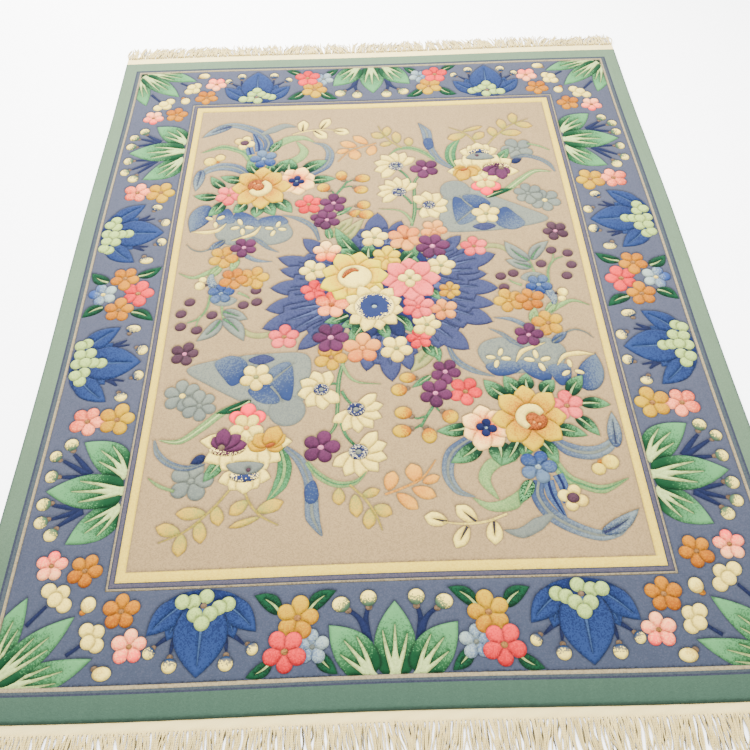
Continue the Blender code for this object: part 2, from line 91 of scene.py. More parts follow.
# How uneven hand-drawn petals are: their bearings in degrees, their sizes and their shades
PETAL_SWAY = (-4.0, 4.0)
PETAL_SIZES = (0.95, 1.05)
PETAL_SHADES = (-0.08, 0.08)
BLOOM_SWAY = (-3.0, 3.0)
BLOOM_SIZES = (0.93, 1.05)


def reflectance(shade: tuple[int, int, int]) -> tuple[float, float, float]:
    """Return the linear reflectance of a fibre that is seen as an sRGB shade in the room.

    Args:
        shade: The colour as it is seen, in bytes.

    Returns:
        Its red, green and blue reflectance.
    """
    seen = np.array(shade) / 255.0
    grey = float(seen @ GREY_WEIGHTS)
    strength = float(np.abs(seen - grey).max())
    vivid = grey * (1 - DIMMING * strength) + (seen - grey) * VIVIDNESS
    vivid = np.clip(vivid, *VIVID_RANGE)
    light = (vivid / (EYE_TOP - vivid) / EYE_LEVEL) ** (1 / EYE_POWER)
    return tuple(np.clip(light / ROOM_LIGHT, *REFLECTANCE_RANGE).tolist())


class Tone(Enum):
    """The light and the deep shade of one wool, as sRGB bytes seen in the room."""

    SAGE = ((158, 175, 153), (104, 132, 116))
    SELVEDGE = ((134, 158, 140), (90, 118, 104))
    SLATE_LINE = ((98, 100, 116), (72, 80, 98))
    STEEL = ((118, 127, 130), (94, 105, 114))
    PARCHMENT = ((206, 198, 174), (182, 172, 148))
    HEATHER = ((134, 128, 138), (106, 105, 122))
    STRAW = ((249, 240, 160), (242, 228, 138))
    TAUPE = ((210, 195, 162), (188, 171, 141))
    DENIM = ((126, 128, 142), (99, 108, 126))
    GOLD = ((246, 228, 62), (220, 174, 20))
    AMBER = ((236, 200, 46), (196, 132, 18))
    LEMON = ((255, 246, 100), (246, 220, 60))
    PINK = ((232, 128, 124), (198, 54, 66))
    BLUSH = ((238, 172, 164), (214, 98, 106))
    ROSE = ((252, 230, 196), (240, 106, 128))
    SALMON = ((252, 214, 182), (212, 92, 72))
    CREAM = ((254, 247, 190), (240, 226, 156))
    PEACH = ((240, 210, 146), (226, 164, 98))
    PURPLE = ((138, 80, 118), (98, 56, 86))
    PLUM = ((122, 92, 104), (94, 64, 80))
    AZURE = ((148, 166, 180), (58, 88, 148))
    MIST = ((204, 212, 206), (92, 124, 174))
    GHOST = ((174, 178, 166), (150, 157, 151))
    LILAC = ((236, 196, 212), (206, 150, 178))
    HEART = ((208, 176, 122), (166, 132, 86))
    FERN = ((146, 192, 150), (30, 98, 62))
    BOTTLE = ((44, 112, 78), (12, 62, 42))
    SPRUCE = ((146, 188, 146), (22, 80, 54))
    MINT = ((200, 212, 164), (140, 176, 128))
    VEIN = ((230, 236, 198), (204, 218, 170))
    CELERY = ((224, 232, 182), (190, 208, 150))
    NAVY = ((58, 68, 108), (38, 48, 88))
    DELFT = ((76, 102, 148), (42, 58, 106))
    DELFT_VEIN = ((130, 156, 188), (104, 134, 172))
    INK = ((54, 64, 114), (36, 46, 92))
    SLATE = ((102, 108, 142), (74, 80, 118))
    SLATE_VEIN = ((130, 140, 172), (104, 114, 150))
    SILVER = ((172, 175, 163), (148, 154, 149))
    RIVER = ((172, 180, 178), (98, 116, 146))
    COBALT = ((144, 156, 164), (74, 94, 136))
    HONEY = ((238, 220, 122), (192, 196, 136))
    APRICOT = ((244, 218, 130), (230, 190, 104))
    IVORY = ((254, 247, 190), (242, 230, 160))
    IVORY_MINT = ((254, 247, 190), (120, 150, 124))
    IVORY_BLUE = ((254, 247, 190), (58, 92, 130))
    SUNSET = ((254, 240, 196), (238, 158, 96))
    EMBER = ((250, 214, 166), (216, 112, 66))
    THROAT = ((226, 222, 202), (74, 82, 122))
    FRINGED_BLUE = ((254, 247, 200), (70, 84, 128))
    FRINGED_PLUM = ((254, 247, 200), (112, 62, 92))
    OLIVE = ((206, 202, 156), (178, 184, 134))
    GLOW = ((250, 234, 72), (206, 138, 22))
    LEMON_GLOW = ((255, 246, 96), (240, 200, 56))
    RUST = ((204, 146, 80), (158, 98, 48))
    SOOT = ((112, 104, 108), (66, 58, 66))
    BARK = ((176, 158, 132), (132, 112, 92))

    def reflectances(self) -> np.ndarray:
        """Return both shades as the wool's own reflectances, by undoing how bright light bleaches them."""
        return np.array([reflectance(shade) for shade in self.value])


@dataclass(frozen=True)
class Shade:
    """How a patch passes from its light shade, 0, to its deep one, 1.

    The share is base, plus slope for each metre along a bearing from the origin, plus radial for each
    metre from the origin.
    """

    base: float = 0.35
    origin: Pair = (0.0, 0.0)
    slope: Pair = (0.0, 0.0)
    radial: float = 0.0

    def at(self, places: np.ndarray) -> np.ndarray:
        """Return the share of the deep shade at each place.

        Args:
            places: Plan positions, one row each.

        Returns:
            One number from 0 to 1 for each row.
        """
        offset = places - np.array(self.origin)
        share = self.base + offset @ np.array(self.slope)
        share = share + self.radial * np.hypot(offset[:, 0], offset[:, 1])
        return np.clip(share, 0.0, 1.0)

    def placed(self, placing: "Placing") -> "Shade":
        """Return this shade after a reflection or half turn."""
        slope = (self.slope[0] * placing.sign_x, self.slope[1] * placing.sign_y)
        return replace(self, origin=placing.point(self.origin), slope=slope)


@dataclass(frozen=True)
class Placing:
    """A reflection or half turn of a motif about the rug's middle lines."""

    sign_x: int = 1
    sign_y: int = 1
    shift_y: float = 0.0

    def point(self, place: Pair) -> Pair:
        """Return one place moved."""
        return self.sign_x * place[0], self.sign_y * place[1] + self.shift_y

    def outline(self, outline: np.ndarray) -> np.ndarray:
        """Return an outline moved."""
        return outline * (self.sign_x, self.sign_y) + (0.0, self.shift_y)


def kept_inside(motifs: list["Motif"], least: Pair, most: Pair) -> list["Patch"]:
    """Return motifs as patches whose outlines are cut off at a frame.

    Args:
        motifs: What stands in the frame.
        least: The frame's lowest x and y.
        most: Its highest x and y.

    Returns:
        The patches, in the motifs' order.
    """
    patches = [patch for motif in motifs for patch in motif.patches()]
    return [replace(patch, outline=np.clip(patch.outline, least, most)) for patch in patches]


HALF_TURN = Placing(-1, -1, 2 * FIELD_MIDDLE_Y)
QUARTERS = (Placing(1, 1), Placing(-1, 1), Placing(1, -1), Placing(-1, -1))
ENDS = (Placing(1, 1), Placing(1, -1))
SIDES = (Placing(1, 1), Placing(-1, 1))


@dataclass(frozen=True)
class Patch:
    """One area of a single wool: its outline, how its shades blend, how far it stands up.

    carve is how deep its outline is cut, as a share of the full carving, and grain how far its two
    shades stay apart as single knots instead of blending.
    """

    outline: np.ndarray
    tone: Tone
    shade: Shade = Shade()
    rise: float = 0.0
    carve: float = 1.0
    grain: float = 0.35

    def placed(self, placing: Placing) -> "Patch":
        """Return this patch after a reflection or half turn."""
        return replace(self, outline=placing.outline(self.outline), shade=self.shade.placed(placing))


class Motif(Protocol):
    """Anything of the pattern that can say which patches it is made of."""

    def patches(self) -> list[Patch]:
        """Return the motif's patches, the lowest first."""


def heading(degrees: float) -> np.ndarray:
    """Return the unit vector along a bearing."""
    angle = math.radians(degrees)
    return np.array((math.cos(angle), math.sin(angle)))


def ellipse(x: float, y: float, radius_x: float, radius_y: float, turn: float = 0.0) -> np.ndarray:
    """Return an ellipse's outline, its first radius along the bearing turn."""
    angle = np.linspace(0.0, 2 * math.pi, ELLIPSE_POINTS, endpoint=False)
    along = np.outer(np.cos(angle) * radius_x, heading(turn))
    across = np.outer(np.sin(angle) * radius_y, heading(turn + 90.0))
    return np.array((x, y)) + along + across


def curve_through(points: Iterable[Pair], closed: bool = False, steps: int = 10) -> np.ndarray:
    """Return a smooth curve through points.

    Args:
        points: The places it passes, in order.
        closed: Whether it returns to its first point.
        steps: How many pieces each span has.

    Returns:
        The curve's points, one row each.
    """
    knots = np.array(list(points), dtype=float)
    count = len(knots)
    spans = count if closed else count - 1
    curve = []
    for span in range(spans):
        indices = np.arange(span - 1, span + 3)
        indices = indices % count if closed else np.clip(indices, 0, count - 1)
        before, start, stop, after = knots[indices]
        for step in range(steps):
            share = step / steps
            curve.append(0.5 * (2 * start + (stop - before) * share
                                + (2 * before - 5 * start + 4 * stop - after) * share ** 2
                                + (3 * start - 3 * stop + after - before) * share ** 3))
    if not closed:
        curve.append(knots[-1])
    return np.array(curve)


def stroke(points: Iterable[Pair], widths: Iterable[float]) -> np.ndarray:
    """Return the outline of a brush stroke along points, its widths spread evenly over its length."""
    spine = curve_through(points)
    widths = np.array(list(widths), dtype=float)
    along = np.linspace(0.0, 1.0, len(spine))
    half = np.interp(along, np.linspace(0.0, 1.0, len(widths)), widths) / 2
    tangent = np.gradient(spine, axis=0)
    tangent /= np.hypot(tangent[:, 0], tangent[:, 1])[:, None]
    normal = np.column_stack((-tangent[:, 1], tangent[:, 0])) * half[:, None]
    return np.vstack((spine + normal, (spine - normal)[::-1]))


def blade(base: np.ndarray, tip: np.ndarray, width: float, bend: float = 0.0, teeth: int = 0,
          blunt: float = 0.75, broad: float = 0.78) -> np.ndarray:
    """Return the outline of a leaf or pointed petal.

    Args:
        base: Where it grows from.
        tip: Where it ends.
        width: Its greatest width.
        bend: How far its spine bows to the left, as a share of its length.
        teeth: How many teeth each edge has.
        blunt: Under 1 for a rounder base.
        broad: Under 1 where it is widest near its base, over 1 where it is widest near its tip.

    Returns:
        The outline's points, one row each.
    """
    axis = tip - base
    across = np.array((-axis[1], axis[0]))
    along = np.linspace(0.0, 1.0, TOOTHED_POINTS if teeth else LEAF_POINTS)
    profile = np.abs(1 - (2 * along ** broad - 1) ** 2)
    profile = np.where(along < 0.5 ** (1 / broad), profile ** blunt, profile)
    if broad > 1:
        profile = np.minimum(profile ** 0.6, 0.10 + 3.4 * (1 - along))
    if teeth:
        phase = along * teeth
        profile = profile * (TOOTH_LEAST + TOOTH_ADDED * (phase - np.floor(phase)) * (along < TOOTH_END))
    spine = base + np.outer(along, axis) + np.outer(4 * along * (1 - along) * bend, across)
    normal = across / np.hypot(*across)
    left = spine + np.outer(profile * width / 2, normal)
    right = spine - np.outer(profile * width / 2, normal)
    return np.vstack((left, right[::-1][1:-1]))


def resampled(outline: np.ndarray, step: float) -> np.ndarray:
    """Space an outline's points evenly between its corners.

    Args:
        outline: A closed outline with as many points as it likes.
        step: The wanted spacing.

    Returns:
        The outline with its corners kept.
    """
    gap = np.hypot(*(outline - np.roll(outline, 1, axis=0)).T)
    outline = outline[gap > 1e-6]
    ahead = np.roll(outline, -1, axis=0) - outline
    behind = outline - np.roll(outline, 1, axis=0)
    cross = ahead[:, 1] * behind[:, 0] - ahead[:, 0] * behind[:, 1]
    turning = np.abs(np.arctan2(cross, (ahead * behind).sum(axis=1)))
    corners = np.flatnonzero(turning > CORNER_TURN)
    if not len(corners):
        corners = np.array([0])
    spaced = []
    for first, last in zip(corners, np.append(corners[1:], corners[0] + len(outline))):
        run = outline[np.arange(first, last + 1) % len(outline)]
        reach = np.append(0.0, np.cumsum(np.hypot(*np.diff(run, axis=0).T)))
        count = max(1, round(reach[-1] / step))
        stations = np.linspace(0.0, reach[-1], count + 1)[:-1]
        spaced.append(np.column_stack([np.interp(stations, reach, run[:, axis]) for axis in (0, 1)]))
    return np.vstack(spaced)


@dataclass(frozen=True)
class Area:
    """A soft-edged area through a few points."""

    points: tuple[Pair, ...]
    tone: Tone
    slope: Pair = (0.0, 0.0)
    base: float = 0.35
    rise: float = 0.0004
    carve: float = 0.5
    grain: float = 0.6

    def patches(self) -> list[Patch]:
        """Return the area as one patch."""
        outline = curve_through(self.points, closed=True)
        middle = outline.mean(axis=0)
        shade = Shade(self.base, tuple(middle), self.slope)
        return [Patch(outline, self.tone, shade, self.rise, self.carve, self.grain)]


@dataclass(frozen=True)
class Disc:
    """A round or oval spot, such as a cup, an eye or a berry."""

    x: float
    y: float
    radius_x: float
    radius_y: float
    tone: Tone
    turn: float = 0.0
    base: float = 0.2
    radial: float = 12.0
    rise: float = 0.0022
    grain: float = 0.35
    carve: float = 0.8

    def patches(self) -> list[Patch]:
        """Return the disc as one patch."""
        shade = Shade(self.base, (self.x, self.y), (0.0, 0.0), self.radial)
        outline = ellipse(self.x, self.y, self.radius_x, self.radius_y, self.turn)
        return [Patch(outline, self.tone, shade, self.rise, self.carve, self.grain)]


@dataclass(frozen=True)
class Stroke:
    """A stem, scroll, ribbon or swoosh along a few points."""

    points: tuple[Pair, ...]
    widths: tuple[float, ...]
    tone: Tone
    deepen: float = 0.0
    rise: float = 0.0008
    carve: float = 0.6
    line: Optional[Tone] = None
    grain: float = 0.3

    def patches(self) -> list[Patch]:
        """Return the stroke, and the fine line along it where it has one."""
        start = np.array(self.points[0])
        run = np.array(self.points[-1]) - start
        slope = tuple(self.deepen * run / max(1e-6, run @ run))
        shade = Shade(0.5 - self.deepen / 2, tuple(start), slope)
        made = [Patch(stroke(self.points, self.widths), self.tone, shade, self.rise, self.carve, self.grain)]
        if self.line:
            fine = stroke(self.points, [0.22 * width for width in self.widths])
            made.append(Patch(fine, self.line, Shade(0.3), self.rise, 0.25, 0.3))
        return made


class Veining(Enum):
    """How a leaf's veins run."""

    NONE = 0
    SINGLE = 1
    BRANCHED = 2
    LINES = 3


@dataclass(frozen=True)
class Leaf:
    """A pointed leaf from its base to its tip.

    deepen is how much deeper its base is than its tip, and side how much deeper its left edge is.
    """

    x: float
    y: float
    tip_x: float
    tip_y: float
    width: float
    tone: Tone
    vein: Tone = Tone.VEIN
    veining: Veining = Veining.SINGLE
    bend: float = 0.0
    teeth: int = 0
    deepen: float = 0.7
    side: float = 0.0
    rise: float = 0.0018
    grain: float = 0.5
    base: float = 0.4
    blunt: float = 0.75
    broad: float = 0.78

    def patches(self) -> list[Patch]:
        """Return the blade and its veins."""
        base = np.array((self.x, self.y))
        axis = np.array((self.tip_x, self.tip_y)) - base
        length = float(np.hypot(*axis))
        across = np.array((-axis[1], axis[0])) / length
        slope = -self.deepen * axis / length ** 2 + self.side * across / self.width
        middle = base + axis / 2
        shade = Shade(self.base, tuple(middle), tuple(slope))
        outline = blade(base, base + axis, self.width, self.bend, self.teeth, self.blunt, self.broad)
        made = [Patch(outline, self.tone, shade, self.rise, 1.0, self.grain)]
        return made + [self._vein(base, axis, across, *row) for row in self._vein_rows()]

    def _vein_rows(self) -> list[tuple[float, float, float, float, float]]:
        """Return each vein's start and end along the leaf, its start and end across it, and its width."""
        fine = 0.055 * self.width + 0.0016
        if self.veining is Veining.SINGLE:
            return [(0.04, 0.66, 0.0, 0.0, 2.1 * fine)]
        if self.veining is Veining.LINES:
            return [(0.10, 0.86, 0.0, 0.0, fine)]
        if self.veining is Veining.BRANCHED:
            return [
                (0.00, 0.42, 0.00, 0.00, 4.0 * fine),
                (0.00, 0.68, 0.00, 0.00, 2.2 * fine),
                (0.06, 0.60, 0.05, 0.30, 2.0 * fine),
                (0.06, 0.56, -0.05, -0.30, 2.0 * fine),
            ]
        return []

    def _vein(self, base: np.ndarray, axis: np.ndarray, across: np.ndarray, start: float, stop: float,
              from_side: float, to_side: float, width: float) -> Patch:
        """Return one tapered vein.

        Args:
            base: The leaf's base.
            axis: From the base to the tip.
            across: The unit vector to the leaf's left.
            start: Where the vein starts along the leaf.
            stop: Where it ends along the leaf.
            from_side: Where it starts across the leaf, in widths.
            to_side: Where it ends across the leaf, in widths.
            width: Its width at the start.

        Returns:
            The vein as a patch.
        """
        points = []
        for share in (0.0, 0.5, 1.0):
            along = start + (stop - start) * share
            side = (from_side + (to_side - from_side) * share ** 0.8) * self.width
            bow = 4 * along * (1 - along) * self.bend * np.hypot(*axis)
            points.append(tuple(base + axis * along + across * (side + bow)))
        outline = stroke(points, (width, 0.72 * width, 0.12 * width))
        return Patch(outline, self.vein, Shade(0.3), self.rise - 0.0003, 0.35, 0.3)


@dataclass(frozen=True)
class Flower:
    """Round petals about a small heart, each petal carved on its own."""

    x: float
    y: float
    radius: float
    turn: float
    tone: Tone
    shade: float = 270.0
    heart: Tone = Tone.HEART
    petals: int = 5
    rise: float = 0.0028
    contrast: float = 0.8
    base: float = 0.45
    heart_size: float = 0.17

    def patches(self) -> list[Patch]:
        """Return the petals and the heart."""
        dice = random.Random(round(1000 * self.x) * 4099 + round(1000 * self.y))
        middle = np.array((self.x, self.y))
        slope = tuple(self.contrast / (2 * self.radius) * heading(self.shade))
        shade = Shade(self.base, (self.x, self.y), slope)
        made = []
        for petal in range(self.petals):
            bearing = self.turn + petal * 360.0 / self.petals + dice.uniform(*PETAL_SWAY)
            radius = self.radius * dice.uniform(*PETAL_SIZES)
            outline = self._petal(middle, radius, bearing)
            tint = replace(shade, base=self.base + dice.uniform(*PETAL_SHADES))
            made.append(Patch(outline, self.tone, tint, self.rise, 1.0, 0.3))
        if self.heart_size:
            size = self.heart_size * self.radius
            heart = ellipse(self.x, self.y, size, 0.9 * size)
            made.append(Patch(heart, self.heart, Shade(0.4), self.rise - 0.0006, 0.7, 0.6))
        return made

    def _petal(self, middle: np.ndarray, radius: float, bearing: float) -> np.ndarray:
        """Return a drop-shaped petal from the middle to a round lobe."""
        spread = min(0.92, 1.06 * math.sin(math.pi / self.petals))
        lobe = radius * spread / (1 + spread)
        flare = 90.0 + math.degrees(math.asin(spread))
        centre = middle + (radius - lobe) * heading(bearing)
        swing = np.linspace(bearing - flare, bearing + flare, PETAL_POINTS)
        return np.vstack([middle] + [centre + lobe * heading(angle) for angle in swing])


@dataclass(frozen=True)
class Bloom:
    """A large flower of pointed petals, its cup and eye given by discs of their own."""

    x: float
    y: float
    radius: float
    petals: int
    turn: float
    tone: Tone
    inward: float = 0.6
    rise: float = 0.0028
    fullness: float = 1.45
    base: float = 0.85

    def patches(self) -> list[Patch]:
        """Return the petals, every other one on top."""
        dice = random.Random(round(1000 * self.x) * 311 + round(1000 * self.y))
        middle = np.array((self.x, self.y))
        shade = Shade(self.base, (self.x, self.y), (0.0, 0.0), -self.inward / self.radius)
        width = self.fullness * self.radius * math.tan(math.pi / self.petals)
        order = list(range(0, self.petals, 2)) + list(range(1, self.petals, 2))
        made = []
        for petal in order:
            bearing = self.turn + petal * 360.0 / self.petals + dice.uniform(*BLOOM_SWAY)
            tip = middle + self.radius * dice.uniform(*BLOOM_SIZES) * heading(bearing)
            base = middle + 0.12 * self.radius * heading(bearing)
            outline = blade(base, tip, width, blunt=0.5, broad=1.15)
            made.append(Patch(outline, self.tone, shade, self.rise, 1.0, 0.3))
        return made


@dataclass(frozen=True)
class Bud:
    """A rounded bud with a small calyx on the side that its stem comes from."""

    x: float
    y: float
    radius_x: float
    radius_y: float
    stem: float
    tone: Tone = Tone.IVORY_MINT
    calyx: Optional[Tone] = Tone.BARK

    def patches(self) -> list[Patch]:
        """Return the bud over its calyx."""
        toward = heading(self.stem)
        radius = (self.radius_x + self.radius_y) / 2
        slope = tuple(0.9 / radius * toward)
        shade = Shade(0.36, (self.x, self.y), slope)
        made = []
        if self.calyx:
            seat = np.array((self.x, self.y)) + 1.12 * radius * toward
            made.append(Patch(ellipse(*seat, 0.44 * radius, 0.38 * radius), self.calyx, Shade(0.4), 0.0014))
        outline = ellipse(self.x, self.y, self.radius_x, self.radius_y)
        made.append(Patch(outline, self.tone, shade, 0.0024, 1.0, 0.6))
        return made


@dataclass(frozen=True)
class Lobes:
    """A cluster of round lobes in one wool, each carved on its own."""

    places: tuple[Pair, ...]
    radius: float
    tone: Tone

    def patches(self) -> list[Patch]:
        """Return one patch for each lobe."""
        middle = np.mean(self.places, axis=0)
        made = []
        for x, y in self.places:
            slope = (middle - (x, y)) * 0.4 / self.radius / 3
            shade = Shade(0.3, (x, y), tuple(slope))
            made.append(Patch(ellipse(x, y, self.radius, self.radius), self.tone, shade, 0.0026))
        return made


@dataclass(frozen=True)
class Star:
    """A small white flower of separate narrow petals, one for each bearing."""

    x: float
    y: float
    reach: float
    bearings: tuple[float, ...]
    tone: Tone = Tone.IVORY

    def patches(self) -> list[Patch]:
        """Return the petals."""
        middle = np.array((self.x, self.y))
        made = []
        for bearing in self.bearings:
            spot = middle + 0.62 * self.reach * heading(bearing)
            outline = ellipse(*spot, 0.40 * self.reach, 0.20 * self.reach, bearing)
            made.append(Patch(outline, self.tone, Shade(0.2), 0.0022, 0.9))
        return made


# What leaf shapes of one kind have in common: petals, the border's fans, the tulips and the green leaves
PETAL = {"veining": Veining.NONE, "grain": 0.3, "blunt": 0.5, "broad": 1.15}
FAN = {"tone": Tone.FERN, "veining": Veining.BRANCHED, "deepen": 1.7, "base": 0.52, "blunt": 0.42,
       "grain": 0.35}
TULIP = {"tone": Tone.DELFT, "vein": Tone.DELFT_VEIN, "veining": Veining.LINES}
GREEN = {"tone": Tone.SPRUCE, "bend": 0.05, "deepen": 1.9}


def mm(*values: Union[float, tuple]) -> tuple:
    """Return millimetres, or rows of them, as metres."""
    return tuple(mm(*value) if isinstance(value, tuple) else value / 1000 for value in values)


def each(kind: type, rows: Iterable[tuple], **common: object) -> list[Motif]:
    """Return one motif of a kind for each row, all with the same common values."""
    return [kind(*row, **common) for row in rows]


def fanned(x: float, y: float, tips: tuple[tuple[float, float, float], ...], tone: Tone) -> list[Motif]:
    """Return pointed petals from one place, each to a tip's x and y and with its own width."""
    return [Leaf(x, y, *tip, tone, deepen=0.5, rise=0.0028, **PETAL) for tip in tips]


def spray(x: float, y: float, reach: float, turn: float, spread: float, petals: int) -> list[Motif]:
    """Return a half-opened pale flower: a fan of pointed petals with a dark, speckled throat."""
    middle = np.array((x, y))
    fan: list[Motif] = []
    for petal in range(petals):
        bearing = turn + spread * (petal / (petals - 1) - 0.5)
        tip = middle + reach * heading(bearing)
        base = middle + 0.10 * reach * heading(bearing)
        width = 0.92 * reach * math.radians(spread / petals)
        fan.append(Leaf(*base, *tip, width, Tone.CREAM, deepen=0.4, rise=0.0026, **PETAL))
    fan.append(Disc(x, y, 0.34 * reach, 0.30 * reach, Tone.THROAT, base=1.1, radial=-18.0, grain=1.0,
                    carve=0.15))
    fan.append(Disc(x, y, 0.11 * reach, 0.10 * reach, Tone.SILVER, rise=0.0018))
    return fan


def end_border() -> list[Motif]:
    """The right half of the near end's border, from the middle outwards."""
    return [
        Stroke(mm((72, -1345), (80, -1300), (78, -1270), (71, -1242)), mm(26, 24, 14, 12), Tone.NAVY),
        Stroke(mm((74, -1345), (84, -1300), (104, -1268), (138, -1244)), mm(26, 22, 14, 12), Tone.NAVY),
        Bud(0.070, -1.216, 0.024, 0.024, 268),
        Bud(0.150, -1.232, 0.026, 0.023, 222),
        Leaf(0.062, -1.440, 0.185, -1.291, 0.112, bend=0.03, **FAN),
        Leaf(0.245, -1.248, 0.164, -1.190, 0.046, Tone.BOTTLE, bend=-0.10),
        Leaf(0.325, -1.250, 0.404, -1.195, 0.050, Tone.BOTTLE, bend=0.10),
        Leaf(0.218, -1.368, 0.160, -1.426, 0.042, Tone.BOTTLE, bend=0.06),
        Leaf(0.345, -1.386, 0.416, -1.426, 0.040, Tone.BOTTLE, bend=-0.08),
        Flower(0.232, -1.350, 0.050, 90, Tone.MIST, 0, Tone.SILVER),
        Flower(0.276, -1.266, 0.064, 101, Tone.GOLD, 255),
        Flower(0.310, -1.360, 0.063, 270, Tone.PINK, 265),
        Stroke(mm((478, -1298), (452, -1312), (425, -1334)), mm(20, 14, 6), Tone.NAVY),
        Stroke(mm((486, -1300), (478, -1325), (474, -1352)), mm(20, 14, 6), Tone.NAVY),
        Stroke(mm((628, -1298), (654, -1312), (680, -1332)), mm(20, 14, 6), Tone.NAVY),
        Stroke(mm((620, -1300), (628, -1325), (632, -1352)), mm(20, 14, 6), Tone.NAVY),
        Bud(0.402, -1.348, 0.017, 0.018, 48, Tone.IVORY_BLUE),
        Bud(0.474, -1.385, 0.021, 0.021, 90, Tone.IVORY_BLUE),
        Bud(0.632, -1.385, 0.021, 0.021, 90, Tone.IVORY_BLUE),
        Bud(0.694, -1.348, 0.017, 0.018, 130, Tone.IVORY_BLUE),
        Disc(0.551, -1.234, 0.126, 0.064, Tone.DELFT, base=1.3, radial=-7.0, rise=0.0012, grain=0.5),
        Leaf(0.500, -1.236, 0.456, -1.316, 0.056, bend=-0.10, **TULIP),
        Leaf(0.602, -1.236, 0.646, -1.316, 0.056, bend=0.10, **TULIP),
        Leaf(0.500, -1.206, 0.394, -1.300, 0.078, bend=-0.04, **TULIP),
        Leaf(0.602, -1.206, 0.708, -1.300, 0.078, bend=0.04, **TULIP),
        Leaf(0.551, -1.196, 0.554, -1.420, 0.156, broad=0.9, **TULIP),
        Lobes(mm((480, -1217), (506, -1226), (545, -1192), (583, -1206), (614, -1205), (530, -1243),
                 (575, -1244), (552, -1270)), 0.0225, Tone.CELERY),
        Disc(0.551, -1.219, 0.010, 0.009, Tone.BARK, rise=0.0004),
        Flower(0.790, -1.226, 0.055, 90, Tone.AMBER, 285),
        Flower(0.752, -1.328, 0.052, 90, Tone.ROSE, 260),
        Stroke(mm((872, -1300), (898, -1326), (928, -1348)), mm(8, 10, 12), Tone.NAVY),
        Lobes(mm((850, -1284), (882, -1278), (846, -1322), (872, -1312)), 0.0215, Tone.IVORY),
        Bud(0.890, -1.204, 0.022, 0.024, 300, Tone.IVORY, Tone.AMBER),
        Bud(0.818, -1.400, 0.027, 0.020, 32, Tone.IVORY, Tone.BARK),
        Disc(1.112, -1.414, 0.052, 0.040, Tone.BOTTLE, base=0.8),
        Leaf(1.100, -1.430, 0.852, -1.358, 0.086, bend=0.04, **FAN),
        Leaf(1.130, -1.400, 1.074, -1.178, 0.086, bend=-0.04, **FAN),
        Leaf(1.118, -1.416, 0.924, -1.238, 0.094, **FAN),
    ]


